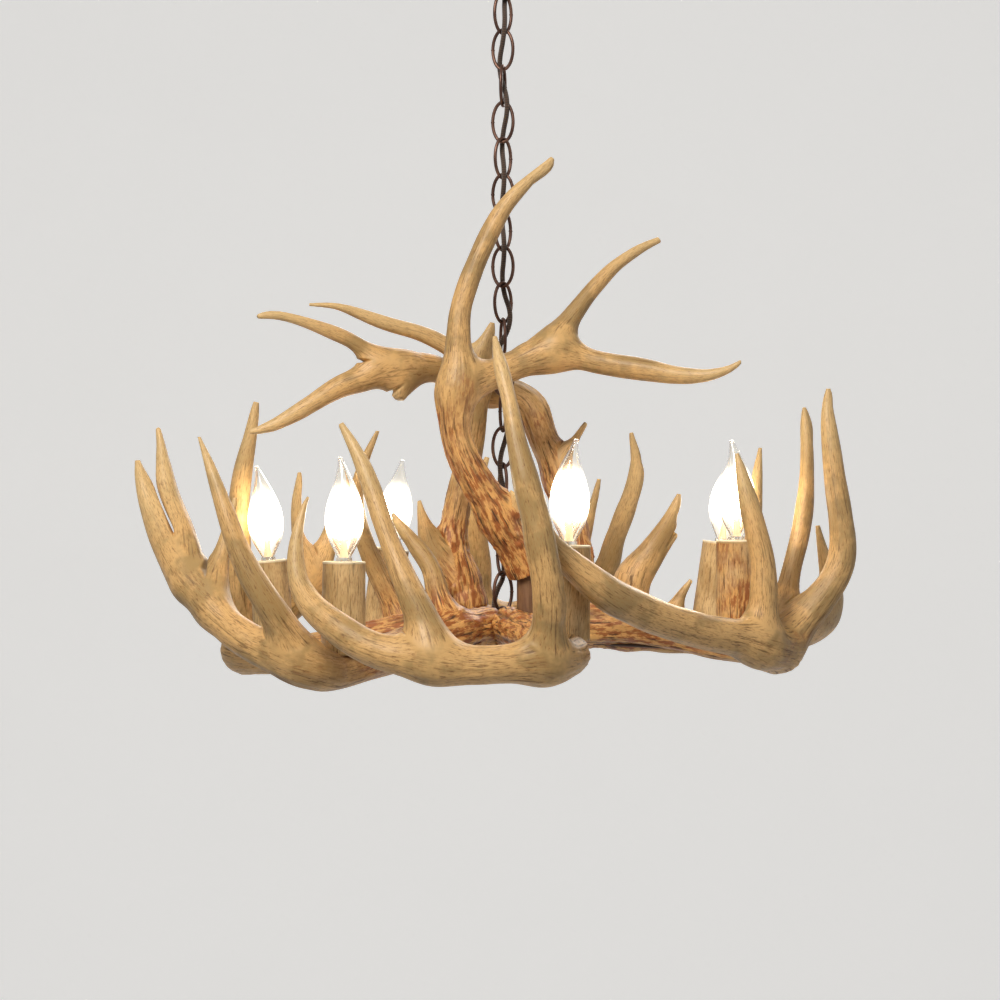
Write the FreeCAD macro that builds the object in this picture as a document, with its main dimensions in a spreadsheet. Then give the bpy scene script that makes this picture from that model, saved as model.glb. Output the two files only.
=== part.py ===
import FreeCAD, Part
import Sketcher
import math
import os

from FreeCAD import Placement, Rotation, Vector

# Antler chandelier. Millimetres, +Z up. The origin is the centre of the ceiling
# strap's screw pattern, on the ceiling plane, and the light hangs below it.

doc = FreeCAD.newDocument("AntlerChandelier")

# ---------------------------------------------------------------- driving sizes

DRIVING_SIZES = [
    ("strap_length", 110.0),
    ("strap_width", 20.0),
    ("strap_thickness", 2.5),
    ("box_screw_spacing", 88.9),
    ("box_slot_length", 14.0),
    ("box_slot_width", 4.6),
    ("stem_diameter", 9.6),
    ("stem_bore", 6.4),
    ("locknut_width", 15.0),
    ("locknut_height", 4.0),
    ("canopy_diameter", 127.0),
    ("canopy_depth", 26.0),
    ("canopy_wall", 1.2),
    ("canopy_rim", 4.0),
    ("canopy_crown", 34.0),
    ("collar_diameter", 20.0),
    ("collar_height", 8.0),
    ("collar_chamfer", 2.0),
    ("loop_radius", 10.0),
    ("loop_wire", 4.4),
    ("loop_sink", 1.0),
    ("link_length", 38.0),
    ("link_width", 22.0),
    ("link_wire", 3.0),
    ("cord_diameter", 4.4),
    ("eye_radius", 8.2),
    ("eye_wire", 3.6),
    ("shank_diameter", 8.0),
    ("core_diameter", 34.0),
    ("core_rise", 14.0),
    ("core_depth", 17.5),
    ("well_diameter", 22.0),
    ("well_floor", 3.0),
    ("core_web", 6.0),
    ("pocket_diameter", 26.0),
    ("plate_diameter", 48.0),
    ("plate_thickness", 3.0),
    ("hub_nut_width", 13.0),
    ("hub_nut_height", 6.0),
    ("shank_end", 2.0),
    ("cord_hole_radius", 7.5),
    ("cable_level", 12.0),
    ("cable_diameter", 3.4),
    ("cable_bend", 9.0),
    ("cable_room", 1.0),
    ("dowel_diameter", 6.0),
    ("dowel_length", 36.0),
    ("dowel_level", 6.0),
    ("post_diameter", 20.0),
    ("pin_diameter", 12.0),
    ("ring_radius", 212.0),
    ("antler_rise", 465.0),
    ("antler_girth", 33.0),
    ("sleeve_diameter", 37.0),
    ("sleeve_top_diameter", 36.0),
    ("sleeve_bore", 25.0),
    ("sleeve_height", 76.0),
    ("nipple_diameter", 9.5),
    ("nipple_bore", 5.6),
    ("nipple_depth", 8.0),
    ("holder_diameter", 22.0),
    ("holder_height", 30.0),
    ("holder_base", 8.0),
    ("holder_drop", 2.0),
    ("holder_taper", 4.0),
    ("holder_seat", 2.0),
    ("thread_diameter", 11.8),
    ("thread_length", 19.0),
    ("thread_tip", 3.0),
    ("cap_sink", 1.0),
    ("cap_collar_diameter", 13.2),
    ("cap_collar_height", 6.0),
    ("bulb_diameter", 32.0),
    ("bulb_height", 83.0),
    ("bulb_neck_diameter", 10.8),
    ("bulb_tip_bend", 5.0),
    ("glass_wall", 0.8),
    ("filament_diameter", 0.8),
    ("link_gap", 0.2),
    ("slip_clearance", 0.2),
]

sheet = doc.addObject("Spreadsheet::Sheet", "Sizes")
for row, (alias, number) in enumerate(DRIVING_SIZES, start=1):
    sheet.set("A%d" % row, alias)
    sheet.set("B%d" % row, str(number))
    sheet.setAlias("B%d" % row, alias)
doc.recompute()


def size(alias):
    """The value of one driving size, in millimetres."""
    return float(sheet.get(alias))


# Links in the chain, from the canopy loop to the hub's eye, and the turn of each
# link's plane about the chain's axis in degrees. The chain hangs a little twisted.
LINK_TURNS = [130, 40, 158, 78, 160, 44, 160, 45, 160, 40, 102, 15, 105, 20, 110, 30, 120, 35]
LOOP_TURN = 40
EYE_TURN = 125

# The route of the lamp cord, from the stem down through the links to the hub.
CORD_POINTS = [
    (0, 0, -4), (0.3, -0.6, -20), (-0.3, -0.2, -38),
    (1, 11.5, -52), (4.5, 10.5, -67), (1, 11.5, -83), (2, -11, -114.6), (-5, 11.5, -146.4),
    (5.9, -10.8, -178.2), (-2, 10.5, -210), (2, -10.5, -241.8), (-2, 10.5, -273.6), (2, -10.5, -305.4),
    (-2, 10.5, -337.2), (10, -4.5, -369), (-9.5, 6, -400.8), (9.5, -5.5, -432.6), (5, 10, -464.4),
    (-5, -10, -496.2), (4.4, 11.4, -528), (-3, -10.5, -559.8), (2.5, 10.5, -591.6), (-6, 6, -607),
    (-8.2, 1, -620), (-7.1, -2.4, -633), (-7.1, -2.4, -650),
]

# Compass direction of the hole that lets the cord through the core's floor.
CORD_HOLE_TURN = 199

# Compass direction, seat height over the hub's middle, and lean of each candle.
CANDLES = [
    {"azimuth": -76.0, "seat": -2.0, "lean": 1.0, "tip_turn": 20.0},
    {"azimuth": -128.0, "seat": -16.0, "lean": 0.5, "tip_turn": 150.0},
    {"azimuth": 166.0, "seat": -20.0, "lean": -4.0, "tip_turn": 200.0},
    {"azimuth": 123.0, "seat": -11.5, "lean": 7.0, "tip_turn": 80.0},
    {"azimuth": 26.0, "seat": -4.0, "lean": 7.5, "tip_turn": 320.0},
    {"azimuth": -20.0, "seat": 0.0, "lean": 0.0, "tip_turn": 170.0},
]

# Centrelines of the antlers, drawn for a candle ring of 212 mm, an antler body
# 465 mm tall and a beam 33 mm thick. Each station is x, y, height over the hub's
# middle and radius. The first limb is the main beam, the others are its tines.
DRAWN_RING = 212.0
DRAWN_RISE = 465.0
DRAWN_GIRTH = 33.0

LOWER_ANTLERS = [
    [
        [(3, -12, 0, 17), (14, -58, -3, 17), (30, -121, -8, 16.5), (45, -182, -12, 16),
         (52, -217, -14, 16), (47, -248, -15, 16), (27, -270, -16, 15.5), (-4, -282, -17, 15),
         (-30, -286, -17, 15), (-55, -286, -14, 14.5), (-84, -281, -10, 14), (-110, -271, -2, 13.5),
         (-132, -259, 12, 12), (-151, -245, 28, 11), (-163, -231, 50, 8), (-165, -219, 76, 5.5),
         (-160, -211, 102, 3.2), (-156, -207, 113, 1.6)],
        [(33, -268, -14, 13), (35, -281, 17, 12.4), (34, -289, 41, 12.7), (30, -292, 68, 11.9),
         (25, -292, 95, 11.5), (17, -290, 125, 10.8), (10, -283, 156, 7.7), (4, -272, 188, 6.6),
         (-3, -258, 219, 5.3), (-7, -249, 239, 1.6)],
        [(-53, -286, -13, 12.5), (-57, -285, 6, 13), (-71, -280, 37, 11), (-82, -274, 61, 9.3),
         (-94, -265, 92, 7.8), (-104, -256, 122, 7.3), (-116, -248, 149, 4.7), (-128, -240, 170, 1.8)],
    ],
    [
        [(-7, -9, 0, 17), (-37, -47, -4, 17), (-74, -95, -12, 16.5), (-110, -141, -22, 16.5),
         (-138, -176, -28, 16.5), (-153, -190, -25, 16), (-180, -187, -17, 15.5), (-215, -168, 0, 14.5),
         (-251, -135, 29, 12.8), (-280, -105, 64, 11.3), (-300, -78, 101, 7.7), (-310, -66, 128, 4.6),
         (-314, -58, 144, 1.8)],
        [(-160, -187, -19, 12.5), (-175, -199, 6, 12), (-192, -205, 32, 11.2), (-210, -205, 65, 9.2),
         (-224, -200, 102, 7.2), (-237, -190, 138, 4), (-247, -180, 162, 1.7)],
        [(-260, -125, 40, 9.5), (-267, -98, 82, 8), (-283, -68, 114, 6.8), (-292, -52, 144, 5.2),
         (-298, -42, 172, 1.8)],
        [(-238, -146, 20, 8), (-236, -130, 50, 6.5), (-231, -118, 80, 5), (-224, -112, 112, 1.8)],
        [(-46, -56, -4, 12), (-56, -50, 28, 10), (-63, -45, 52, 8.5), (-79, -40, 75, 6.2),
         (-96, -38, 99, 1.8)],
    ],
    [
        [(-11, 3, 0, 17), (-58, 14, -4, 17), (-116, 29, -14, 16.5), (-174, 43, -26, 16),
         (-219, 60, -31, 16), (-234, 78, -30, 15.5), (-240, 112, -25, 14.5), (-226, 152, -13, 14),
         (-204, 182, 6, 13.5), (-184, 200, 30, 13), (-172, 208, 55, 10), (-163, 210, 85, 7.5),
         (-158, 208, 110, 4.6), (-157, 205, 128, 1.7)],
        [(-237, 86, -26, 13), (-240, 86, 19, 12.8), (-242, 85, 55, 12), (-241, 83, 101, 10),
         (-237, 80, 135, 8.6), (-230, 78, 168, 5.9), (-224, 76, 199, 2.2)],
        [(-188, 197, 26, 10.5), (-191, 195, 57, 8.5), (-196, 190, 81, 5.5), (-196, 186, 110, 4.3),
         (-193, 184, 137, 1.8)],
    ],
    [
        [(-6, 10, 0, 17), (-33, 50, -3, 17), (-65, 101, -9, 16.5), (-98, 151, -18, 16),
         (-122, 189, -23, 16), (-121, 214, -22, 15.5), (-98, 247, -20, 15), (-62, 268, -16, 15),
         (-22, 280, -10, 15), (20, 285, -4, 14.5), (62, 283, 6, 14), (92, 273, 24, 12.5),
         (103, 266, 45, 11), (110, 262, 71, 10), (124, 255, 110, 8.6), (130, 248, 147, 5.8),
         (125, 242, 176, 2.2)],
        [(-93, 142, -14, 12), (-102, 138, 12, 11), (-118, 136, 45, 9), (-132, 135, 82, 8),
         (-136, 133, 115, 6.5), (-129, 131, 145, 4.5), (-116, 130, 175, 1.8)],
        [(-22, 279, -8, 13), (-24, 277, 21, 12.5), (-24, 272, 61, 11), (-27, 262, 99, 8.5),
         (-24, 258, 125, 6), (-15, 255, 152, 2.2)],
        [(62, 283, 8, 11), (70, 281, 35, 9), (76, 280, 58, 7.5), (86, 275, 95, 5.4),
         (95, 270, 131, 2)],
    ],
    [
        [(11, 5, 0, 17), (54, 26, -3, 17), (108, 53, -7, 16.5), (162, 79, -13, 16),
         (201, 98, -16, 16), (224, 104, -17, 15.5), (254, 98, -14, 15), (276, 76, -8, 14.5),
         (287, 48, 2, 13.5), (290, 18, 18, 12), (287, -3, 40, 9), (281, -11, 62, 5.5),
         (275, -15, 88, 1.8)],
        [(230, 104, -14, 12), (231, 109, 20, 11), (230, 112, 55, 9), (232, 110, 99, 7),
         (234, 108, 128, 5), (237, 106, 159, 1.9)],
        [(113, 56, -4, 13), (116, 59, 38, 12), (131, 58, 65, 7.6), (149, 56, 92, 5.8),
         (159, 54, 116, 1.8)],
        [(117, 60, 36, 8), (131, 62, 52, 6), (144, 64, 67, 4), (156, 66, 80, 1.7)],
        [(148, 73, -8, 8), (160, 72, 20, 5), (171, 70, 38, 1.8)],
    ],
    [
        [(12, -4, 0, 17), (56, -20, 2, 17), (113, -41, 2, 16.5), (165, -60, -5, 16.5),
         (210, -77, -13, 16.5), (224, -88, -15, 16), (232, -110, -16, 16), (218, -134, -12, 15.5),
         (191, -156, -3, 14.5), (160, -178, 4, 14.3), (130, -200, 13, 14), (101, -222, 26, 14),
         (76, -241, 41, 13.6), (53, -248, 60, 11), (35, -251, 79, 8.6), (26, -252, 106, 6.5),
         (21, -252, 130, 4.3), (19, -251, 149, 1.8)],
        [(228, -104, -14, 13.5), (248, -99, 4, 14), (265, -95, 23, 13), (280, -92, 44, 12),
         (287, -90, 65, 11.4), (286, -88, 93, 10.2), (282, -84, 125, 9.7), (278, -80, 160, 7.6),
         (276, -76, 187, 5.1), (277, -74, 205, 2)],
        [(213, -136, -11, 12.5), (214, -139, 12, 12.5), (215, -141, 36, 12), (214, -140, 62, 10.3),
         (207, -138, 93, 9.1), (200, -134, 123, 6.6), (194, -130, 149, 1.8)],
        [(228, -95, -14, 11), (235, -83, 10, 10.5), (240, -74, 28, 9.5), (247, -66, 53, 8.3),
         (256, -56, 86, 8), (261, -50, 121, 6.5), (262, -46, 157, 5.2), (260, -43, 191, 2)],
    ],
]

UPPER_ANTLERS = [
    [
        [(21, -27, 50, 17), (11, -34, 68, 16), (-2, -44, 88, 15.5), (-14, -52, 110, 15),
         (-31, -62, 140, 13.7), (-40, -66, 166, 12.8), (-41, -66, 192, 14), (-39, -63, 218, 13.5),
         (-39, -62, 243, 11), (-37, -60, 270, 9.5), (-30, -56, 296, 9.5), (-21, -52, 319, 8.6),
         (-10, -46, 343, 8.2), (2, -42, 364, 7), (22, -38, 386, 5), (43, -34, 406, 2)],
        [(-38, -62, 206, 12.5), (-14, -53, 216, 13), (12, -46, 227, 13), (40, -42, 237, 13.6),
         (62, -44, 234, 11), (84, -48, 228, 10.3), (121, -58, 222, 9.4), (147, -66, 217, 7.7),
         (172, -74, 216, 5.6), (189, -80, 220, 3.8), (202, -84, 228, 1.7)],
        [(42, -42, 236, 11.5), (49, -40, 253, 10.5), (66, -34, 277, 8), (81, -28, 296, 7),
         (98, -22, 314, 5.6), (119, -16, 329, 4.4), (137, -12, 338, 2.6)],
        [(-4, -46, 92, 6), (5, -50, 103, 4.5), (10, -50, 113, 1.6)],
    ],
    [
        [(62, 22, 4, 16.5), (66, 21, 44, 15), (65, 24, 70, 13.5), (61, 28, 92, 12.7),
         (49, 38, 132, 12.7), (34, 50, 172, 13), (24, 56, 196, 13.5), (6, 58, 207, 13),
         (-13, 57, 206, 13), (-34, 50, 215, 12.5), (-56, 36, 226, 12), (-87, 20, 228, 12.5),
         (-106, 12, 223, 11.8), (-122, 5, 217, 11.3), (-142, 0, 210, 10.3), (-168, -8, 194, 7.9),
         (-195, -14, 178, 5.8), (-210, -18, 172, 3.8), (-221, -20, 169, 1.8)],
        [(-96, 15, 227, 8.5), (-118, 7, 241, 7.2), (-139, 0, 253, 6.5), (-168, -10, 264, 5.5),
         (-195, -18, 271, 4), (-214, -24, 270, 1.7)],
        [(-85, 20, 220, 6), (-89, 16, 209, 4.5), (-91, 15, 200, 1.8)],
        [(51, 36, 128, 7), (59, 30, 154, 4.6), (74, 24, 179, 1.7)],
    ],
    [
        [(-34, 12, 4, 16.5), (-39, 18, 44, 15), (-42, 21, 60, 13), (-43, 24, 83, 12.5),
         (-38, 25, 114, 12), (-30, 26, 150, 11.2), (-25, 27, 181, 10.5), (-21, 27, 212, 9.6),
         (-20, 25, 230, 8.9), (-16, 23, 248, 6.5), (-9, 22, 268, 2)],
        [(-24, 26, 218, 8), (-36, 24, 236, 8), (-52, 22, 248, 7.5), (-74, 16, 258, 6.8),
         (-100, 8, 265, 6.2), (-126, 0, 274, 5.2), (-147, -8, 280, 3.3), (-170, -14, 281, 1.6)],
        [(-38, 15, 30, 11), (-48, 12, 42, 11), (-63, 8, 66, 9.7), (-71, 5, 94, 5), (-74, 3, 110, 2)],
    ],
]

# Dowels that stand in the lower antlers and carry the upper ones: place, lowest
# and highest point over the hub's middle, and the size that gives the diameter.
UPPER_DOWELS = [
    {"place": (22, -27), "bottom": -6, "top": 62, "diameter": "post_diameter"},
    {"place": (62, 22), "bottom": -6, "top": 34, "diameter": "pin_diameter"},
    {"place": (-33, 19), "bottom": -6, "top": 34, "diameter": "pin_diameter"},
]

# Levels down the light, worked out from the driving sizes.
link_pitch = size("link_length") - 2 * size("link_wire") - size("link_gap")
link_reach = (size("link_length") - size("link_wire")) / 2
collar_bottom = -size("canopy_depth") - size("collar_height")
loop_centre = collar_bottom - size("loop_radius") + size("loop_sink")
loop_level = loop_centre - size("loop_radius")
first_link_top = loop_level + (size("loop_wire") + size("link_wire")) / 2 + size("link_gap")
last_link_bottom = first_link_top - 2 * link_reach - link_pitch * (len(LINK_TURNS) - 1)
eye_top = last_link_bottom + (size("eye_wire") + size("link_wire")) / 2 + size("link_gap")
eye_centre = eye_top - size("eye_radius")
well_floor_level = eye_centre - size("eye_radius") - size("eye_wire") / 2
hub_level = well_floor_level + size("well_floor")

spread = size("ring_radius") / DRAWN_RING
rise = size("antler_rise") / DRAWN_RISE
girth = size("antler_girth") / DRAWN_GIRTH
slip = size("slip_clearance")

SUB_PARTS = []


def keep(feature, label):
    """Give a sub-part its label, which names its file, and list it for export."""
    feature.Label = label
    SUB_PARTS.append(feature)
    return feature


def bind(feature, **formulas):
    """Bind properties of a feature to formulas over the sheet's cells."""
    for name, formula in formulas.items():
        feature.setExpression(name.replace("_at_", "."), formula)
    return feature


def primitive(kind, name, level=0.0, **formulas):
    """Add a Part primitive at a level on the chain's axis, bound to formulas."""
    feature = doc.addObject(kind, name)
    feature.Placement = Placement(Vector(0, 0, level), Rotation())
    return bind(feature, **formulas)


def less(name, base, tool):
    """Subtract one feature from another."""
    feature = doc.addObject("Part::Cut", name)
    feature.Base = base
    feature.Tool = tool
    return feature


def pin_corner(sketch, index, formulas, corner):
    """Hold one corner of a sketch at its radius and height formulas."""
    kinds = ("DistanceX", "DistanceY")
    axes = (-2, -1)
    for kind, axis, formula, value in zip(kinds, axes, formulas, corner):
        if value == 0:
            sketch.addConstraint(Sketcher.Constraint("PointOnObject", index, 1, axis))
        else:
            row = sketch.addConstraint(Sketcher.Constraint(kind, -1, 1, index, 1, value))
            sketch.setExpression("Constraints[%d]" % row, formula)


def turned_body(name, outline, placement=Placement()):
    """Revolve an outline about Z, each corner given as radius and height formulas."""
    body = doc.addObject("PartDesign::Body", name)
    sketch = body.newObject("Sketcher::SketchObject", name + "_outline")
    plane = [feature for feature in body.Origin.OriginFeatures if feature.Role == "XZ_Plane"][0]
    sketch.AttachmentSupport = [(plane, "")]
    sketch.MapMode = "FlatFace"
    corners = [[float(sheet.evalExpression(text)) for text in pair] for pair in outline]
    for start, end in zip(corners, corners[1:] + corners[:1]):
        line = Part.LineSegment(Vector(start[0], start[1], 0), Vector(end[0], end[1], 0))
        sketch.addGeometry(line, False)
    count = len(corners)
    for index in range(count):
        sketch.addConstraint(Sketcher.Constraint("Coincident", index, 2, (index + 1) % count, 1))
    for index, corner in enumerate(corners):
        pin_corner(sketch, index, outline[index], corner)
    revolution = body.newObject("PartDesign::Revolution", name + "_turned")
    revolution.Profile = sketch
    revolution.ReferenceAxis = (sketch, ["V_Axis"])
    revolution.Angle = 360
    body.Placement = placement
    return body


def shaped(label, shape, placement=Placement()):
    """Add a sub-part, shaped about its own origin, where neither a primitive nor a sketch fits."""
    feature = doc.addObject("Part::Feature", label)
    feature.Shape = shape
    feature.Placement = placement
    return keep(feature, label)


def at_level(level):
    """A placement on the chain's axis."""
    return Placement(Vector(0, 0, level), Rotation())


def compass(angle):
    """The level unit vector at a compass angle in degrees."""
    return Vector(math.cos(math.radians(angle)), math.sin(math.radians(angle)), 0)


# ---------------------------------------------------------------- routes and limbs

def rounded_route(points, radii):
    """A wire of straight runs joined by tangent arcs, one radius for each inner point."""
    edges = []
    start = points[0]
    for index in range(1, len(points) - 1):
        before = (points[index - 1] - points[index]).normalize()
        after = (points[index + 1] - points[index]).normalize()
        half_turn = (math.pi - before.getAngle(after)) / 2
        reach = radii[index - 1] * math.tan(half_turn)
        arc_start = points[index] + before * reach
        arc_end = points[index] + after * reach
        inward = (before + after).normalize()
        middle = points[index] + inward * (radii[index - 1] / math.cos(half_turn) - radii[index - 1])
        edges.append(Part.LineSegment(start, arc_start).toShape())
        edges.append(Part.Arc(arc_start, middle, arc_end).toShape())
        start = arc_end
    edges.append(Part.LineSegment(start, points[-1]).toShape())
    return Part.Wire(edges)


ARC_SHARE = 0.45
SEAM_HINT = Vector(0.2, 0.3, 1)


def widest_radii(points):
    """The largest bend that the runs beside each inner point allow."""
    radii = []
    for before, corner, after in zip(points, points[1:], points[2:]):
        turn = (corner - before).getAngle(after - corner)
        shorter = min((corner - before).Length, (after - corner).Length)
        radii.append(ARC_SHARE * shorter / math.tan(turn / 2))
    return radii


def tube_along(route, radius):
    """A round solid of one radius along a wire."""
    start = route.Edges[0].Vertexes[0].Point
    direction = route.Edges[0].tangentAt(route.Edges[0].FirstParameter)
    profile = Part.Wire(Part.makeCircle(radius, start, direction))
    return route.makePipeShell([profile], True, False)


def limb_sections(stations):
    """Round sections along a centreline, each square to it, with a steady seam."""
    centres = [Vector(x, y, 0) * spread + Vector(0, 0, hub_level + height * rise)
               for x, y, height, radius in stations]
    last = len(centres) - 1
    across = None
    sections = []
    for index, (centre, station) in enumerate(zip(centres, stations)):
        along = (centres[min(index + 1, last)] - centres[max(index - 1, 0)]).normalize()
        if across is None:
            across = along.cross(SEAM_HINT).normalize()
        across = (across - along * across.dot(along)).normalize()
        turn = Rotation(across, along.cross(across), along, "ZXY")
        circle = Part.makeCircle(station[3] * girth)
        circle.Placement = Placement(centre, turn)
        sections.append(Part.Wire(circle))
    return sections


def limb(stations):
    """A smooth solid along one centreline."""
    return Part.makeLoft(limb_sections(stations), True, False)


def grow(beam, tines):
    """The beam of an antler with its tines grown onto it."""
    for stations in tines:
        beam = beam.fuse(limb(stations))
    return beam


def one_solid(shape):
    """The body of an antler after cuts, without loose slivers."""
    return max(shape.Solids, key=lambda solid: solid.Volume)


# ---------------------------------------------------------------- ceiling hardware

strap_plate = primitive(
    "Part::Box", "strap_plate",
    Length="Sizes.strap_length", Width="Sizes.strap_width", Height="Sizes.strap_thickness",
    Placement_at_Base_at_x="-Sizes.strap_length / 2", Placement_at_Base_at_y="-Sizes.strap_width / 2",
    Placement_at_Base_at_z="-Sizes.strap_thickness")
strap_holes = doc.addObject("Part::MultiFuse", "strap_holes")
holes = [primitive("Part::Cylinder", "strap_stem_hole", Radius="Sizes.stem_diameter / 2",
                   Height="Sizes.strap_thickness * 3",
                   Placement_at_Base_at_z="-Sizes.strap_thickness * 2")]
for side, name in ((-1, "left"), (1, "right")):
    slot_middle = "%d * Sizes.box_screw_spacing / 2" % side
    end_offset = "(Sizes.box_slot_length - Sizes.box_slot_width) / 2"
    holes.append(primitive(
        "Part::Box", "slot_" + name,
        Length="Sizes.box_slot_length - Sizes.box_slot_width", Width="Sizes.box_slot_width",
        Height="Sizes.strap_thickness * 3", Placement_at_Base_at_x=slot_middle + " - " + end_offset,
        Placement_at_Base_at_y="-Sizes.box_slot_width / 2",
        Placement_at_Base_at_z="-Sizes.strap_thickness * 2"))
    for end, sign in (("inner", "-"), ("outer", "+")):
        holes.append(primitive(
            "Part::Cylinder", "slot_%s_%s" % (name, end), Radius="Sizes.box_slot_width / 2",
            Height="Sizes.strap_thickness * 3",
            Placement_at_Base_at_x="%s %s %s" % (slot_middle, sign, end_offset),
            Placement_at_Base_at_z="-Sizes.strap_thickness * 2"))
strap_holes.Shapes = holes
keep(less("ceiling_strap_cut", strap_plate, strap_holes), "ceiling_strap")

stem = turned_body("stem_body", [
    ("Sizes.stem_bore / 2", "0"),
    ("Sizes.stem_diameter / 2", "0"),
    ("Sizes.stem_diameter / 2", "-(Sizes.canopy_depth + Sizes.collar_height)"),
    ("Sizes.stem_bore / 2", "-(Sizes.canopy_depth + Sizes.collar_height)"),
])
keep(stem, "canopy_stem")

locknut_blank = primitive("Part::Prism", "locknut_blank", Circumradius="Sizes.locknut_width / sqrt(3)",
                          Height="Sizes.locknut_height",
                          Placement_at_Base_at_z="-Sizes.strap_thickness - Sizes.locknut_height")
locknut_bore = primitive("Part::Cylinder", "locknut_bore",
                         Radius="Sizes.stem_diameter / 2", Height="Sizes.locknut_height * 3",
                         Placement_at_Base_at_z="-Sizes.strap_thickness - Sizes.locknut_height * 2")
keep(less("locknut_cut", locknut_blank, locknut_bore), "strap_locknut")

canopy = turned_body("canopy_body", [
    ("Sizes.canopy_diameter / 2", "0"),
    ("Sizes.canopy_diameter / 2", "-Sizes.canopy_rim"),
    ("Sizes.canopy_diameter / 2 - 3 * Sizes.canopy_wall", "-Sizes.canopy_rim - 2 * Sizes.canopy_wall"),
    ("Sizes.canopy_crown", "-Sizes.canopy_depth + 3 * Sizes.canopy_wall"),
    ("Sizes.collar_diameter / 2 + 2 * Sizes.canopy_wall", "-Sizes.canopy_depth"),
    ("Sizes.stem_diameter / 2 + Sizes.slip_clearance", "-Sizes.canopy_depth"),
    ("Sizes.stem_diameter / 2 + Sizes.slip_clearance", "-Sizes.canopy_depth + Sizes.canopy_wall"),
    ("Sizes.collar_diameter / 2 + 2 * Sizes.canopy_wall", "-Sizes.canopy_depth + Sizes.canopy_wall"),
    ("Sizes.canopy_crown", "-Sizes.canopy_depth + 4.2 * Sizes.canopy_wall"),
    ("Sizes.canopy_diameter / 2 - 3.6 * Sizes.canopy_wall", "-Sizes.canopy_rim - Sizes.canopy_wall"),
    ("Sizes.canopy_diameter / 2 - Sizes.canopy_wall", "-Sizes.canopy_rim"),
    ("Sizes.canopy_diameter / 2 - Sizes.canopy_wall", "0"),
])
keep(canopy, "canopy")

collar = turned_body("collar_body", [
    ("Sizes.stem_diameter / 2", "-Sizes.canopy_depth"),
    ("(Sizes.collar_diameter - Sizes.collar_chamfer) / 2", "-Sizes.canopy_depth"),
    ("Sizes.collar_diameter / 2", "-Sizes.canopy_depth - Sizes.collar_chamfer / 2"),
    ("Sizes.collar_diameter / 2", "-Sizes.canopy_depth - Sizes.collar_height + Sizes.collar_chamfer"),
    ("Sizes.collar_diameter / 2 - Sizes.collar_chamfer", "-Sizes.canopy_depth - Sizes.collar_height"),
    ("Sizes.stem_diameter / 2", "-Sizes.canopy_depth - Sizes.collar_height"),
])
loop_ring = primitive("Part::Torus", "loop_ring", Radius1="Sizes.loop_radius", Radius2="Sizes.loop_wire / 2")
loop_ring.Placement = Placement(Vector(0, 0, loop_centre), Rotation(Vector(0, 0, 1), LOOP_TURN)
                                * Rotation(Vector(1, 0, 0), 90))
loop_open = primitive("Part::Cylinder", "loop_cord_way", level=collar_bottom,
                      Radius="Sizes.stem_bore / 2", Height="Sizes.collar_height",
                      Placement_at_Base_at_z="-Sizes.canopy_depth - Sizes.collar_height - Sizes.loop_wire * 1.5")
loop_bore = primitive("Part::Cylinder", "loop_stem_way", Radius="Sizes.stem_diameter / 2",
                      Height="Sizes.collar_height",
                      Placement_at_Base_at_z="-Sizes.canopy_depth - Sizes.collar_height")
loop_ways = doc.addObject("Part::MultiFuse", "loop_ways")
loop_ways.Shapes = [loop_open, loop_bore]
loop_whole = doc.addObject("Part::MultiFuse", "loop_whole")
loop_whole.Shapes = [collar, loop_ring]
keep(less("canopy_loop_cut", loop_whole, loop_ways), "canopy_loop")


# ---------------------------------------------------------------- chain and cord

def link_shape():
    """One oval link about its own middle, its plane in XZ."""
    bend = (size("link_width") - size("link_wire")) / 2
    side = link_reach - bend
    top = Part.Arc(Vector(bend, 0, side), Vector(0, 0, link_reach), Vector(-bend, 0, side))
    bottom = Part.Arc(Vector(-bend, 0, -side), Vector(0, 0, -link_reach), Vector(bend, 0, -side))
    left = Part.LineSegment(Vector(-bend, 0, side), Vector(-bend, 0, -side))
    right = Part.LineSegment(Vector(bend, 0, -side), Vector(bend, 0, side))
    route = Part.Wire([right.toShape(), top.toShape(), left.toShape(), bottom.toShape()])
    profile = Part.Wire(Part.makeCircle(size("link_wire") / 2, Vector(bend, 0, -side), Vector(0, 0, 1)))
    return route.makePipeShell([profile], True, False)


plain_link = link_shape()
links = []
for index, turn in enumerate(LINK_TURNS):
    link = plain_link.copy()
    middle = first_link_top - link_reach - link_pitch * index
    link.Placement = Placement(Vector(0, 0, middle), Rotation(Vector(0, 0, 1), turn))
    links.append(link)
shaped("top_link", plain_link, links[0].Placement)
shaped("chain_links", Part.makeCompound(links[1:]))

cord_points = [Vector(*point) for point in CORD_POINTS]
cord_radii = widest_radii(cord_points)
cord_radius = size("cord_diameter") / 2
cord_route = rounded_route(cord_points, cord_radii)
print("cord bend radii:", " ".join("%.0f" % radius for radius in cord_radii))
cord = tube_along(cord_route, cord_radius)
print("cord volume / section x length: %.4f"
      % (cord.Volume / (math.pi * cord_radius ** 2 * cord_route.Length)))
print("cord length: %.0f" % cord_route.Length)
split_level = first_link_top - link_reach
side_room = 2 * size("link_width")
upper_side = Part.makeBox(2 * side_room, 2 * side_room, -split_level,
                          Vector(-side_room, -side_room, split_level))
shaped("lamp_cord_top", cord.common(upper_side))
shaped("lamp_cord", cord.cut(upper_side))

# ---------------------------------------------------------------- hub

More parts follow.
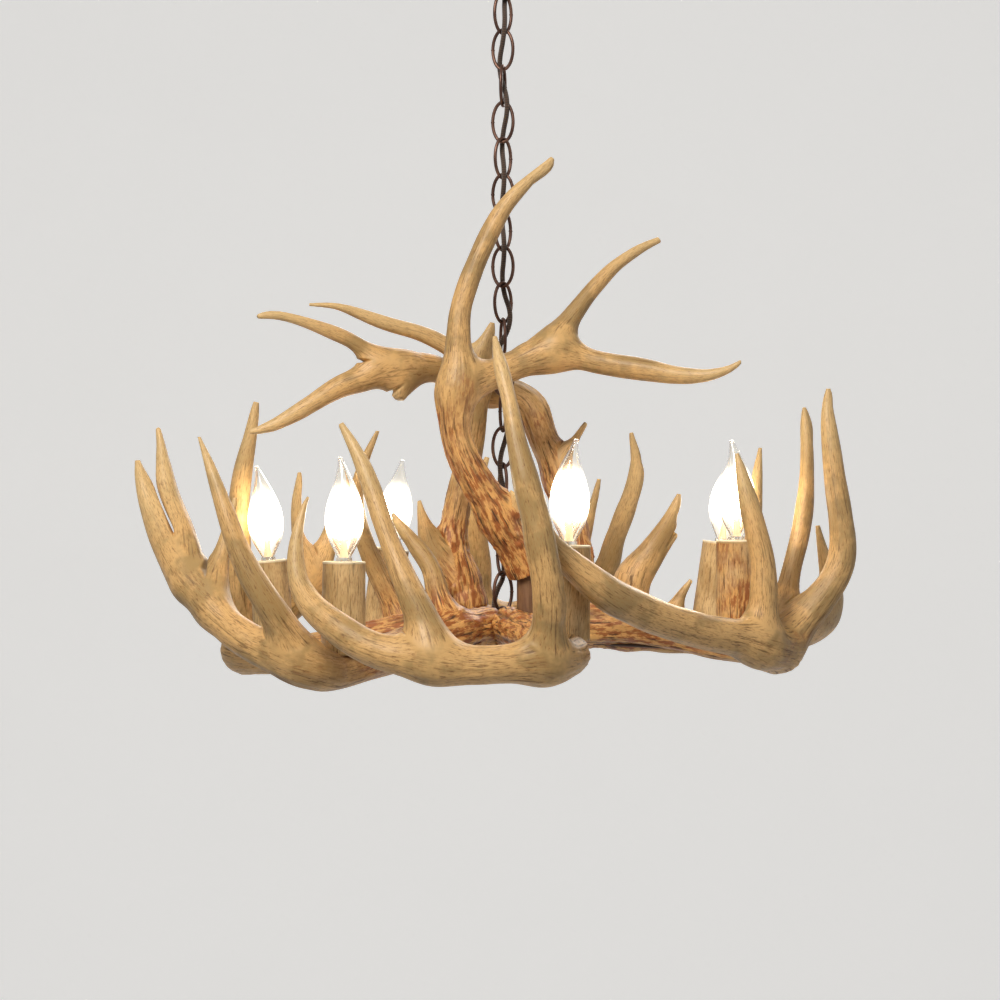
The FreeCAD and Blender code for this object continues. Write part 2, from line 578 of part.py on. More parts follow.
eye_ring = primitive("Part::Torus", "eye_ring", Radius1="Sizes.eye_radius", Radius2="Sizes.eye_wire / 2")
eye_ring.Placement = Placement(Vector(0, 0, eye_centre), Rotation(Vector(0, 0, 1), EYE_TURN)
                               * Rotation(Vector(1, 0, 0), 90))
plate_level = hub_level - size("core_depth")
shank_bottom = (plate_level - size("plate_thickness") - size("hub_nut_height") - size("shank_end"))
shank_top = well_floor_level + size("eye_wire") / 2
shank = primitive("Part::Cylinder", "eye_shank", level=shank_bottom, Radius="Sizes.shank_diameter / 2")
shank.Height = shank_top - shank_bottom
hub_eye = doc.addObject("Part::MultiFuse", "hub_eye_whole")
hub_eye.Shapes = [eye_ring, shank]
keep(hub_eye, "hub_eye")

core = turned_body("core_body", [
    ("Sizes.shank_diameter / 2 + Sizes.slip_clearance", "-Sizes.well_floor"),
    ("Sizes.well_diameter / 2", "-Sizes.well_floor"),
    ("Sizes.well_diameter / 2", "Sizes.core_rise"),
    ("Sizes.core_diameter / 2", "Sizes.core_rise"),
    ("Sizes.core_diameter / 2", "-Sizes.core_depth"),
    ("Sizes.pocket_diameter / 2", "-Sizes.core_depth"),
    ("Sizes.pocket_diameter / 2", "-Sizes.well_floor - Sizes.core_web"),
    ("Sizes.shank_diameter / 2 + Sizes.slip_clearance", "-Sizes.well_floor - Sizes.core_web"),
], at_level(hub_level))
plate = turned_body("plate_body", [
    ("Sizes.shank_diameter / 2 + Sizes.slip_clearance", "0"),
    ("Sizes.plate_diameter / 2", "0"),
    ("Sizes.plate_diameter / 2", "-Sizes.plate_thickness / 2"),
    ("Sizes.plate_diameter / 2 - Sizes.plate_thickness / 2", "-Sizes.plate_thickness"),
    ("Sizes.shank_diameter / 2 + Sizes.slip_clearance", "-Sizes.plate_thickness"),
], at_level(plate_level))
keep(plate, "hub_plate")
nut_level = plate_level - size("plate_thickness") - size("hub_nut_height")
nut_blank = primitive("Part::Prism", "hub_nut_blank", level=nut_level,
                      Circumradius="Sizes.hub_nut_width / sqrt(3)", Height="Sizes.hub_nut_height")
nut_bore = primitive("Part::Cylinder", "hub_nut_bore", level=nut_level - size("hub_nut_height"),
                     Radius="Sizes.shank_diameter / 2", Height="Sizes.hub_nut_height * 3")
keep(less("hub_nut_cut", nut_blank, nut_bore), "hub_nut")

# ---------------------------------------------------------------- candle places

def candle_placement(candle):
    """Where a candle stands: its own frame has its seat at the origin, +Z up its axis."""
    ring = compass(candle["azimuth"]) * size("ring_radius")
    seat = Vector(ring.x, ring.y, hub_level + candle["seat"] * rise)
    return Placement(seat, Rotation(Vector(0, 1, 0), candle["lean"]))


def cable_route(candle):
    """The way of a candle's cable: out along the beam, then up the nipple."""
    outward = compass(candle["azimuth"])
    seat = candle_placement(candle)
    level = hub_level - size("cable_level")
    corner_depth = size("nipple_depth") + size("cable_bend") + size("cable_room")
    corner = seat.multVec(Vector(0, 0, -corner_depth))
    top = seat.multVec(Vector(0, 0, cable_top))
    inner = outward * cable_start + Vector(0, 0, level)
    return rounded_route([inner, corner, top], [size("cable_bend")])


holder_bottom = size("sleeve_height") - size("holder_drop") - size("holder_height")
cable_top = holder_bottom + size("holder_base") - size("holder_seat") / 2
cable_start = (size("pocket_diameter") + size("shank_diameter")) / 4
dowel_start = (size("well_diameter") + size("core_diameter")) / 4
placements = [candle_placement(candle) for candle in CANDLES]
cable_routes = [cable_route(candle) for candle in CANDLES]


def radial_rod(candle, radius, start, length, level):
    """A rod that runs out from the hub towards a candle."""
    outward = compass(candle["azimuth"])
    return Part.makeCylinder(radius, length, outward * start + Vector(0, 0, level), outward)


def upright_rod(dowel, clearance):
    """A dowel between a lower and an upper antler, or the hole it stands in."""
    radius = size(dowel["diameter"]) / 2 + clearance
    x, y = dowel["place"]
    bottom = hub_level + dowel["bottom"] * rise
    height = (dowel["top"] - dowel["bottom"]) * rise
    return Part.makeCylinder(radius, height, Vector(x * spread, y * spread, bottom))


dowel_rods = [radial_rod(candle, size("dowel_diameter") / 2, dowel_start, size("dowel_length"),
                         hub_level + size("dowel_level")) for candle in CANDLES]
dowel_holes = [radial_rod(candle, size("dowel_diameter") / 2 + slip / 2, dowel_start,
                          size("dowel_length"), hub_level + size("dowel_level")) for candle in CANDLES]
cable_ways = [tube_along(route, size("cable_diameter") / 2 + 2 * slip) for route in cable_routes]
upright_holes = [upright_rod(dowel, slip / 2) for dowel in UPPER_DOWELS]
shaped("hub_dowels", Part.makeCompound(dowel_rods))
shaped("antler_posts", Part.makeCompound([upright_rod(dowel, 0) for dowel in UPPER_DOWELS]))
shaped("candle_cables", Part.makeCompound([tube_along(route, size("cable_diameter") / 2)
                                           for route in cable_routes]))

doc.recompute()
cord_way = Part.makeCylinder(cord_radius + slip, size("core_web") + 2 * size("well_floor"),
                             compass(CORD_HOLE_TURN) * size("cord_hole_radius")
                             + Vector(0, 0, well_floor_level - size("core_web") - size("well_floor")))
core_shape = core.Shape.cut([cord_way] + dowel_holes + cable_ways)
shaped("hub_core", core_shape)

# ---------------------------------------------------------------- lower antlers

# How far out from the chain's axis the beams are mitred against each other, and
# the station just past the candle where the straight base of a beam ends.
JOINT_REACH = 55.0
SWEEP_STATION = 4


def sector(index):
    """The room round the hub that belongs to the antlers beside one antler."""
    azimuths = [candle["azimuth"] for candle in CANDLES]
    own = azimuths[index]
    left = min((other - own) % 360 for other in azimuths if other != own)
    right = min((own - other) % 360 for other in azimuths if other != own)
    start = own + left / 2
    sweep = 360 - (left + right) / 2
    height = 6 * size("antler_girth")
    disc = Part.makeCylinder(JOINT_REACH, height, Vector(0, 0, -height / 2), Vector(0, 0, 1), sweep)
    disc.Placement = Placement(Vector(0, 0, hub_level), Rotation(Vector(0, 0, 1), start))
    return disc


hub_height = 6 * size("antler_girth")
hub_room = Part.makeCylinder(size("core_diameter") / 2, hub_height,
                             Vector(0, 0, hub_level - hub_height / 2))
plate_room = Part.makeCylinder(size("plate_diameter") / 2 + slip, size("core_depth"),
                               Vector(0, 0, plate_level - size("core_depth")))
lower_shapes = []
for index, limbs in enumerate(LOWER_ANTLERS):
    sections = limb_sections(limbs[0])
    seat_cut = Part.makeCylinder(size("sleeve_diameter") / 2 + 2 * slip, size("sleeve_height") / 2)
    seat_cut.Placement = placements[index]
    nipple_hole = Part.makeCylinder(size("nipple_diameter") / 2 + slip / 2, size("nipple_depth"),
                                    Vector(0, 0, -size("nipple_depth")))
    nipple_hole.Placement = placements[index]
    base = Part.makeLoft(sections[:SWEEP_STATION + 1], True, False)
    for tool in [sector(index), hub_room, plate_room, seat_cut, nipple_hole, dowel_holes[index],
                 cable_ways[index]] + upright_holes:
        base = base.cut(tool)
    sweep = Part.makeLoft(sections[SWEEP_STATION:], True, False).cut(seat_cut)
    lower_shapes.append(one_solid(grow(base.fuse(sweep), limbs[1:])))
    shaped("lower_antler_%d" % (index + 1), lower_shapes[-1])

# ---------------------------------------------------------------- upper antlers

for index, limbs in enumerate(UPPER_ANTLERS):
    beam = limb(limbs[0])
    for tool in lower_shapes + [hub_room]:
        beam = beam.cut(tool)
    antler = grow(beam, limbs[1:]).cut(upright_holes[index])
    shaped("upper_antler_%d" % (index + 1), one_solid(antler))


# ---------------------------------------------------------------- candles

def seated(feature, index):
    """Stand a candle's piece, built on its own seat, in its place on the ring."""
    feature.Placement = placements[index]
    return feature


# Height and width of a flame bulb, as shares of its own height and radius, where its
# tip starts to bend, and where its glass stem and its lit wire end.
BULB_OUTLINE = [
    (0.00, 0.34), (0.06, 0.50), (0.15, 0.76), (0.26, 0.94), (0.36, 1.00), (0.48, 0.95),
    (0.60, 0.79), (0.70, 0.60), (0.79, 0.42), (0.87, 0.27), (0.94, 0.16), (0.99, 0.09),
]
BEND_START = 0.6
TIP_RADIUS = 0.5
FILAMENT_FOOT = 0.16
FILAMENT_TOP = 0.38
STEM_TOP = 0.20


def bulb_skin(bottom, inset):
    """The outside of a flame bulb, or its inside, with its tip bent to one side."""
    sections = []
    for share, width in BULB_OUTLINE:
        radius = max(width * size("bulb_diameter") / 2 - inset, TIP_RADIUS)
        beyond = max(0.0, share - BEND_START) / (1 - BEND_START)
        shift = size("bulb_tip_bend") * beyond ** 2
        height = bottom + share * (size("bulb_height") - 2 * inset) + inset
        sections.append(Part.Wire(Part.makeCircle(radius, Vector(shift, 0, height))))
    return Part.makeLoft(sections, True, False)


def filament_shape(bottom):
    """The lit wire on its two supports."""
    wire = size("filament_diameter") / 2
    half = size("bulb_neck_diameter") / 4
    foot = bottom + size("bulb_height") * FILAMENT_FOOT
    top = bottom + size("bulb_height") * FILAMENT_TOP
    left = Part.makeCylinder(wire, top - foot, Vector(-half, 0, foot))
    right = Part.makeCylinder(wire, top - foot, Vector(half, 0, foot))
    arch = Part.makeTorus(half, wire, Vector(0, 0, top), Vector(0, 1, 0), -90, 90, 360)
    upper = Part.makeBox(4 * half, 4 * half, 2 * half, Vector(-2 * half, -2 * half, top))
    return left.fuse([right, arch.common(upper)])


holder_top = "(Sizes.sleeve_height - Sizes.holder_drop)"
holder_foot = "(Sizes.sleeve_height - Sizes.holder_drop - Sizes.holder_height)"
holder_shelf = holder_foot + " + Sizes.holder_base - Sizes.holder_seat"
nipples = []
for index in range(len(CANDLES)):
    number = index + 1
    outside = primitive("Part::Cone", "sleeve_outside_%d" % number, Radius1="Sizes.sleeve_diameter / 2",
                        Radius2="Sizes.sleeve_top_diameter / 2", Height="Sizes.sleeve_height")
    bore = primitive("Part::Cylinder", "sleeve_bore_%d" % number, level=-size("sleeve_height"),
                     Radius="Sizes.sleeve_bore / 2", Height="Sizes.sleeve_height * 3")
    keep(seated(less("sleeve_cut_%d" % number, outside, bore), index), "candle_sleeve_%d" % number)

    holder = turned_body("holder_body_%d" % number, [
        ("Sizes.nipple_diameter / 2", holder_foot),
        ("Sizes.holder_diameter / 2 - Sizes.holder_taper * 3 / 4", holder_foot),
        ("Sizes.holder_diameter / 2", holder_foot + " + Sizes.holder_taper"),
        ("Sizes.holder_diameter / 2", holder_top),
        ("Sizes.cap_collar_diameter / 2 + Sizes.slip_clearance", holder_top),
        ("Sizes.cap_collar_diameter / 2 + Sizes.slip_clearance", holder_foot + " + Sizes.holder_base"),
        ("Sizes.cable_diameter / 2 + Sizes.slip_clearance", holder_foot + " + Sizes.holder_base"),
        ("Sizes.cable_diameter / 2 + Sizes.slip_clearance", holder_shelf),
        ("Sizes.nipple_diameter / 2", holder_shelf),
    ])
    keep(seated(holder, index), "lampholder_%d" % number)

    nipple = Part.makeCylinder(size("nipple_diameter") / 2,
                               size("nipple_depth") + holder_bottom + size("holder_base")
                               - size("holder_seat"),
                               Vector(0, 0, -size("nipple_depth")))
    way = Part.makeCylinder(size("nipple_bore") / 2, 2 * size("sleeve_height"),
                            Vector(0, 0, -size("sleeve_height") / 2))
    nipple = nipple.cut(way)
    nipple.Placement = placements[index]
    nipples.append(nipple)

    collar_foot = holder_top + " - Sizes.cap_sink"
    collar_top = collar_foot + " + Sizes.cap_collar_height"
    cap_foot = collar_foot + " - Sizes.thread_length"
    cap = turned_body("cap_body_%d" % number, [
        ("0", cap_foot),
        ("Sizes.thread_diameter / 4", cap_foot),
        ("Sizes.thread_diameter / 2", cap_foot + " + Sizes.thread_tip"),
        ("Sizes.thread_diameter / 2", collar_foot),
        ("Sizes.cap_collar_diameter / 2", collar_foot),
        ("Sizes.cap_collar_diameter / 2", collar_top),
        ("Sizes.bulb_neck_diameter / 2 + Sizes.slip_clearance", collar_top),
        ("Sizes.bulb_neck_diameter / 2 + Sizes.slip_clearance", holder_top),
        ("0", holder_top),
    ])
    keep(seated(cap, index), "bulb_cap_%d" % number)

    neck_foot = size("sleeve_height") - size("holder_drop") + slip / 2
    glass_foot = neck_foot - slip / 2 + size("cap_collar_height") - size("cap_sink")
    outer = bulb_skin(glass_foot, 0)
    inner = bulb_skin(glass_foot, size("glass_wall"))
    neck_height = glass_foot - neck_foot + size("glass_wall")
    neck_outer = Part.makeCylinder(size("bulb_neck_diameter") / 2, neck_height, Vector(0, 0, neck_foot))
    neck_inner = Part.makeCylinder(size("bulb_neck_diameter") / 2 - size("glass_wall"),
                                   3 * neck_height, Vector(0, 0, neck_foot - neck_height))
    glass = outer.fuse(neck_outer).cut([inner, neck_inner])
    tip_turn = Placement(Vector(), Rotation(Vector(0, 0, 1), CANDLES[index]["tip_turn"]))
    shaped("bulb_glass_%d" % number, glass, placements[index].multiply(tip_turn))

    stem_radius = size("bulb_neck_diameter") / 2 - size("glass_wall") - slip
    stem_top = glass_foot + size("bulb_height") * STEM_TOP
    stem_glass = Part.makeCone(stem_radius, stem_radius / 2, stem_top - neck_foot, Vector(0, 0, neck_foot))
    filament = stem_glass.fuse(filament_shape(glass_foot))
    shaped("bulb_filament_%d" % number, filament, placements[index])

shaped("candle_nipples", Part.makeCompound(nipples))

# ---------------------------------------------------------------- checks and export

doc.recompute()
for feature in doc.Objects:
    if "Invalid" in feature.State or "Error" in feature.State:
        raise RuntimeError("%s failed: %s" % (feature.Name, feature.State))
for feature in SUB_PARTS:
    if feature.Shape.isNull() or not feature.Shape.isValid():
        raise RuntimeError("%s has no valid shape" % feature.Label)
    print("%-20s %2d solid(s) %10.0f mm3" % (feature.Label, len(feature.Shape.Solids), feature.Shape.Volume))

os.makedirs("parts", exist_ok=True)
for feature in SUB_PARTS:
    feature.Shape.exportStep("parts/%s.step" % feature.Label)
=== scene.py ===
import itertools
import logging
import math
from dataclasses import dataclass, field
from enum import Enum
from typing import Iterable, Optional, Sequence, Union

import bmesh
import bpy
import numpy as np
from mathutils import Matrix, Vector


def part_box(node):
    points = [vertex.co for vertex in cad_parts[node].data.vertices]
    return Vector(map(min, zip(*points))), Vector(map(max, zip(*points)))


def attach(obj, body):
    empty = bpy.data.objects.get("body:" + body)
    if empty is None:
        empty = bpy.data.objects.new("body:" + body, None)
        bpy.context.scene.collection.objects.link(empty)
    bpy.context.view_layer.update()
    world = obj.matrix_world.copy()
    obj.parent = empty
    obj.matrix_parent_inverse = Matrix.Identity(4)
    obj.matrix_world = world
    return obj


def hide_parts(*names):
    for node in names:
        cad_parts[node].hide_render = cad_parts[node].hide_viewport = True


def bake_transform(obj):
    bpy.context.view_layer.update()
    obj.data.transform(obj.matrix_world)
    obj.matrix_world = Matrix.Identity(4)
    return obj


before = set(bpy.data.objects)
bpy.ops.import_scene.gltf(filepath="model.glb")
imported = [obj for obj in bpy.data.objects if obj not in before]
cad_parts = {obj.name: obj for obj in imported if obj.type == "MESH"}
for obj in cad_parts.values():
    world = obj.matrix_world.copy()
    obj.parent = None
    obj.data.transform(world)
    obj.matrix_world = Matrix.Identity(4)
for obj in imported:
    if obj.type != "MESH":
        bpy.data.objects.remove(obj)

# Looks of an antler chandelier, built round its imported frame. Metres, +Z up, with
# the ceiling plane at height 0. Antler stations are drawn in millimetres.

log = logging.getLogger("antler_chandelier")

MM = 0.001
CORE_RISE = 14 * MM
HUB_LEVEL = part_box("hub_core")[1].z - CORE_RISE
RING_RADIUS = 0.212

Station = tuple[float, float, float, float]
Colour = tuple[float, float, float]
Span = tuple[float, float]
Triple = tuple[float, float, float]
Value = Union[bpy.types.NodeSocket, float, Sequence[float]]


class Body(str, Enum):
    """The bodies that pieces ride on, besides those of the bulbs."""

    CEILING = "ceiling_mount"
    TOP_LINK = "top_link"
    LIGHT = "light_body"


@dataclass(frozen=True)
class CandleSeat:
    """Where a candle stands on the ring, how it leans, and which way its bulb's tip bends.

    The height is in millimetres over the hub's middle, the other values in degrees.
    """

    azimuth: float
    height: float
    lean: float
    tip_turn: float

    def middle(self) -> Vector:
        """Find where the candle stands.

        Returns:
            The middle of the flat under it.
        """
        azimuth = math.radians(self.azimuth)
        return Vector((math.cos(azimuth) * RING_RADIUS, math.sin(azimuth) * RING_RADIUS,
                       HUB_LEVEL + self.height * MM))

    def turn(self) -> Matrix:
        """The turn from the candle's own frame to the light's."""
        return Matrix.Rotation(math.radians(self.lean), 3, "Y")


# The route of the lamp cord, from the stem down through the links to the hub.
CORD_POINTS = [
    (0, 0, -0.004), (0.0003, -0.0006, -0.02), (-0.0003, -0.0002, -0.038), (0.001, 0.0115, -0.052),
    (0.0045, 0.0105, -0.067), (0.001, 0.0115, -0.083), (0.002, -0.011, -0.1146),
    (-0.005, 0.0115, -0.1464), (0.0059, -0.0108, -0.1782), (-0.002, 0.0105, -0.21),
    (0.002, -0.0105, -0.2418), (-0.002, 0.0105, -0.2736), (0.002, -0.0105, -0.3054),
    (-0.002, 0.0105, -0.3372), (0.01, -0.0045, -0.369), (-0.0095, 0.006, -0.4008),
    (0.0095, -0.0055, -0.4326), (0.005, 0.01, -0.4644), (-0.005, -0.01, -0.4962),
    (0.0044, 0.0114, -0.528), (-0.003, -0.0105, -0.5598), (0.0025, 0.0105, -0.5916),
    (-0.006, 0.006, -0.607), (-0.0082, 0.001, -0.62), (-0.0071, -0.0024, -0.633),
    (-0.0071, -0.0024, -0.65),
]

# Turn of each link's plane about the chain's axis, in degrees, from the top.
LINK_TURNS = [130, 40, 158, 78, 160, 44, 160, 45, 160, 40, 102, 15, 105, 20, 110, 30, 120, 35]

# The candles, as the record numbers them.
CANDLES = [
    CandleSeat(azimuth=-76.0, height=-2.0, lean=1.0, tip_turn=20.0),
    CandleSeat(azimuth=-128.0, height=-16.0, lean=0.5, tip_turn=150.0),
    CandleSeat(azimuth=166.0, height=-20.0, lean=-4.0, tip_turn=200.0),
    CandleSeat(azimuth=123.0, height=-11.5, lean=7.0, tip_turn=80.0),
    CandleSeat(azimuth=26.0, height=-4.0, lean=7.5, tip_turn=320.0),
    CandleSeat(azimuth=-20.0, height=0.0, lean=0.0, tip_turn=170.0),
]

# Centrelines of the antlers. Each station is x, y, height over the hub's middle and
# radius, in millimetres. The first limb is the main beam, the others are its tines.
LOWER_ANTLERS: list[list[list[Station]]] = [
    [
        [(3, -12, 0, 17), (14, -58, -3, 17), (30, -121, -8, 16.5), (45, -182, -12, 16),
         (52, -217, -14, 16), (47, -248, -15, 16), (27, -270, -16, 15.5), (-4, -282, -17, 15),
         (-30, -286, -17, 15), (-55, -286, -14, 14.5), (-84, -281, -10, 14), (-110, -271, -2, 13.5),
         (-132, -259, 12, 12), (-151, -245, 28, 11), (-163, -231, 50, 8), (-165, -219, 76, 5.5),
         (-160, -211, 102, 3.2), (-156, -207, 113, 1.6)],
        [(33, -268, -14, 13), (35, -281, 17, 12.4), (34, -289, 41, 12.7), (30, -292, 68, 11.9),
         (25, -292, 95, 11.5), (17, -290, 125, 10.8), (10, -283, 156, 7.7), (4, -272, 188, 6.6),
         (-3, -258, 219, 5.3), (-7, -249, 239, 1.6)],
        [(-53, -286, -13, 12.5), (-57, -285, 6, 13), (-71, -280, 37, 11), (-82, -274, 61, 9.3),
         (-94, -265, 92, 7.8), (-104, -256, 122, 7.3), (-116, -248, 149, 4.7), (-128, -240, 170, 1.8)],
    ],
    [
        [(-7, -9, 0, 17), (-37, -47, -4, 17), (-74, -95, -12, 16.5), (-110, -141, -22, 16.5),
         (-138, -176, -28, 16.5), (-153, -190, -25, 16), (-180, -187, -17, 15.5), (-215, -168, 0, 14.5),
         (-251, -135, 29, 12.8), (-280, -105, 64, 11.3), (-300, -78, 101, 7.7), (-310, -66, 128, 4.6),
         (-314, -58, 144, 1.8)],
        [(-160, -187, -19, 12.5), (-175, -199, 6, 12), (-192, -205, 32, 11.2), (-210, -205, 65, 9.2),
         (-224, -200, 102, 7.2), (-237, -190, 138, 4), (-247, -180, 162, 1.7)],
        [(-260, -125, 40, 9.5), (-267, -98, 82, 8), (-283, -68, 114, 6.8), (-292, -52, 144, 5.2),
         (-298, -42, 172, 1.8)],
        [(-238, -146, 20, 8), (-236, -130, 50, 6.5), (-231, -118, 80, 5), (-224, -112, 112, 1.8)],
        [(-46, -56, -4, 12), (-56, -50, 28, 10), (-63, -45, 52, 8.5), (-79, -40, 75, 6.2),
         (-96, -38, 99, 1.8)],
    ],
    [
        [(-11, 3, 0, 17), (-58, 14, -4, 17), (-116, 29, -14, 16.5), (-174, 43, -26, 16),
         (-219, 60, -31, 16), (-234, 78, -30, 15.5), (-240, 112, -25, 14.5), (-226, 152, -13, 14),
         (-204, 182, 6, 13.5), (-184, 200, 30, 13), (-172, 208, 55, 10), (-163, 210, 85, 7.5),
         (-158, 208, 110, 4.6), (-157, 205, 128, 1.7)],
        [(-237, 86, -26, 13), (-240, 86, 19, 12.8), (-242, 85, 55, 12), (-241, 83, 101, 10),
         (-237, 80, 135, 8.6), (-230, 78, 168, 5.9), (-224, 76, 199, 2.2)],
        [(-188, 197, 26, 10.5), (-191, 195, 57, 8.5), (-196, 190, 81, 5.5), (-196, 186, 110, 4.3),
         (-193, 184, 137, 1.8)],
    ],
    [
        [(-6, 10, 0, 17), (-33, 50, -3, 17), (-65, 101, -9, 16.5), (-98, 151, -18, 16),
         (-122, 189, -23, 16), (-121, 214, -22, 15.5), (-98, 247, -20, 15), (-62, 268, -16, 15),
         (-22, 280, -10, 15), (20, 285, -4, 14.5), (62, 283, 6, 14), (92, 273, 24, 12.5),
         (103, 266, 45, 11), (110, 262, 71, 10), (124, 255, 110, 8.6), (130, 248, 147, 5.8),
         (125, 242, 176, 2.2)],
        [(-93, 142, -14, 12), (-102, 138, 12, 11), (-118, 136, 45, 9), (-132, 135, 82, 8),
         (-136, 133, 115, 6.5), (-129, 131, 145, 4.5), (-116, 130, 175, 1.8)],
        [(-22, 279, -8, 13), (-24, 277, 21, 12.5), (-24, 272, 61, 11), (-27, 262, 99, 8.5),
         (-24, 258, 125, 6), (-15, 255, 152, 2.2)],
        [(62, 283, 8, 11), (70, 281, 35, 9), (76, 280, 58, 7.5), (86, 275, 95, 5.4),
         (95, 270, 131, 2)],
    ],
    [
        [(11, 5, 0, 17), (54, 26, -3, 17), (108, 53, -7, 16.5), (162, 79, -13, 16),
         (201, 98, -16, 16), (224, 104, -17, 15.5), (254, 98, -14, 15), (276, 76, -8, 14.5),
         (287, 48, 2, 13.5), (290, 18, 18, 12), (287, -3, 40, 9), (281, -11, 62, 5.5),
         (275, -15, 88, 1.8)],
        [(230, 104, -14, 12), (231, 109, 20, 11), (230, 112, 55, 9), (232, 110, 99, 7),
         (234, 108, 128, 5), (237, 106, 159, 1.9)],
        [(113, 56, -4, 13), (116, 59, 38, 12), (131, 58, 65, 7.6), (149, 56, 92, 5.8),
         (159, 54, 116, 1.8)],
        [(117, 60, 36, 8), (131, 62, 52, 6), (144, 64, 67, 4), (156, 66, 80, 1.7)],
        [(148, 73, -8, 8), (160, 72, 20, 5), (171, 70, 38, 1.8)],
    ],
    [
        [(12, -4, 0, 17), (56, -20, 2, 17), (113, -41, 2, 16.5), (165, -60, -5, 16.5),
         (210, -77, -13, 16.5), (224, -88, -15, 16), (232, -110, -16, 16), (218, -134, -12, 15.5),
         (191, -156, -3, 14.5), (160, -178, 4, 14.3), (130, -200, 13, 14), (101, -222, 26, 14),
         (76, -241, 41, 13.6), (53, -248, 60, 11), (35, -251, 79, 8.6), (26, -252, 106, 6.5),
         (21, -252, 130, 4.3), (19, -251, 149, 1.8)],
        [(228, -104, -14, 13.5), (248, -99, 4, 14), (265, -95, 23, 13), (280, -92, 44, 12),
         (287, -90, 65, 11.4), (286, -88, 93, 10.2), (282, -84, 125, 9.7), (278, -80, 160, 7.6),
         (276, -76, 187, 5.1), (277, -74, 205, 2)],
        [(213, -136, -11, 12.5), (214, -139, 12, 12.5), (215, -141, 36, 12), (214, -140, 62, 10.3),
         (207, -138, 93, 9.1), (200, -134, 123, 6.6), (194, -130, 149, 1.8)],
        [(228, -95, -14, 11), (235, -83, 10, 10.5), (240, -74, 28, 9.5), (247, -66, 53, 8.3),
         (256, -56, 86, 8), (261, -50, 121, 6.5), (262, -46, 157, 5.2), (260, -43, 191, 2)],
    ],
]

UPPER_ANTLERS: list[list[list[Station]]] = [
    [
        [(21, -27, 50, 17), (11, -34, 68, 16), (-2, -44, 88, 15.5), (-14, -52, 110, 15),
         (-31, -62, 140, 13.7), (-40, -66, 166, 12.8), (-41, -66, 192, 14), (-39, -63, 218, 13.5),
         (-39, -62, 243, 11), (-37, -60, 270, 9.5), (-30, -56, 296, 9.5), (-21, -52, 319, 8.6),
         (-10, -46, 343, 8.2), (2, -42, 364, 7), (22, -38, 386, 5), (43, -34, 406, 2)],
        [(-38, -62, 206, 12.5), (-14, -53, 216, 13), (12, -46, 227, 13), (40, -42, 237, 13.6),
         (62, -44, 234, 11), (84, -48, 228, 10.3), (121, -58, 222, 9.4), (147, -66, 217, 7.7),
         (172, -74, 216, 5.6), (189, -80, 220, 3.8), (202, -84, 228, 1.7)],
        [(42, -42, 236, 11.5), (49, -40, 253, 10.5), (66, -34, 277, 8), (81, -28, 296, 7),
         (98, -22, 314, 5.6), (119, -16, 329, 4.4), (137, -12, 338, 2.6)],
        [(-4, -46, 92, 6), (5, -50, 103, 4.5), (10, -50, 113, 1.6)],
    ],
    [
        [(62, 22, 4, 16.5), (66, 21, 44, 15), (65, 24, 70, 13.5), (61, 28, 92, 12.7),
         (49, 38, 132, 12.7), (34, 50, 172, 13), (24, 56, 196, 13.5), (6, 58, 207, 13),
         (-13, 57, 206, 13), (-34, 50, 215, 12.5), (-56, 36, 226, 12), (-87, 20, 228, 12.5),
         (-106, 12, 223, 11.8), (-122, 5, 217, 11.3), (-142, 0, 210, 10.3), (-168, -8, 194, 7.9),
         (-195, -14, 178, 5.8), (-210, -18, 172, 3.8), (-221, -20, 169, 1.8)],
        [(-96, 15, 227, 8.5), (-118, 7, 241, 7.2), (-139, 0, 253, 6.5), (-168, -10, 264, 5.5),
         (-195, -18, 271, 4), (-214, -24, 270, 1.7)],
        [(-85, 20, 220, 6), (-89, 16, 209, 4.5), (-91, 15, 200, 1.8)],
        [(51, 36, 128, 7), (59, 30, 154, 4.6), (74, 24, 179, 1.7)],
    ],
    [
        [(-34, 12, 4, 16.5), (-39, 18, 44, 15), (-42, 21, 60, 13), (-43, 24, 83, 12.5),
         (-38, 25, 114, 12), (-30, 26, 150, 11.2), (-25, 27, 181, 10.5), (-21, 27, 212, 9.6),
         (-20, 25, 230, 8.9), (-16, 23, 248, 6.5), (-9, 22, 268, 2)],
        [(-24, 26, 218, 8), (-36, 24, 236, 8), (-52, 22, 248, 7.5), (-74, 16, 258, 6.8),
         (-100, 8, 265, 6.2), (-126, 0, 274, 5.2), (-147, -8, 280, 3.3), (-170, -14, 281, 1.6)],
        [(-38, 15, 30, 11), (-48, 12, 42, 11), (-63, 8, 66, 9.7), (-71, 5, 94, 5), (-74, 3, 110, 2)],
    ],
]


# ------------------------------------------------------------------ small helpers

def as_object(name: str, data: bpy.types.ID) -> bpy.types.Object:
    """Link a mesh, a curve, a lamp or a camera into the scene as an object at the origin.

    Args:
        name: Name of the object.
        data: What it shows.

    Returns:
        The new object.
    """
    piece = bpy.data.objects.new(name, data)
    bpy.context.scene.collection.objects.link(piece)
    return piece


def settled_mesh(helper: bpy.types.Object) -> bpy.types.Mesh:
    """Turn a helper object with its modifiers into a plain mesh, and remove the helper.

    Args:
        helper: The object, which is gone afterwards.

    Returns:
        The mesh.
    """
    bpy.context.view_layer.update()
    evaluated = helper.evaluated_get(bpy.context.evaluated_depsgraph_get())
    mesh = bpy.data.meshes.new_from_object(evaluated)
    bpy.data.objects.remove(helper, do_unlink=True)
    return mesh


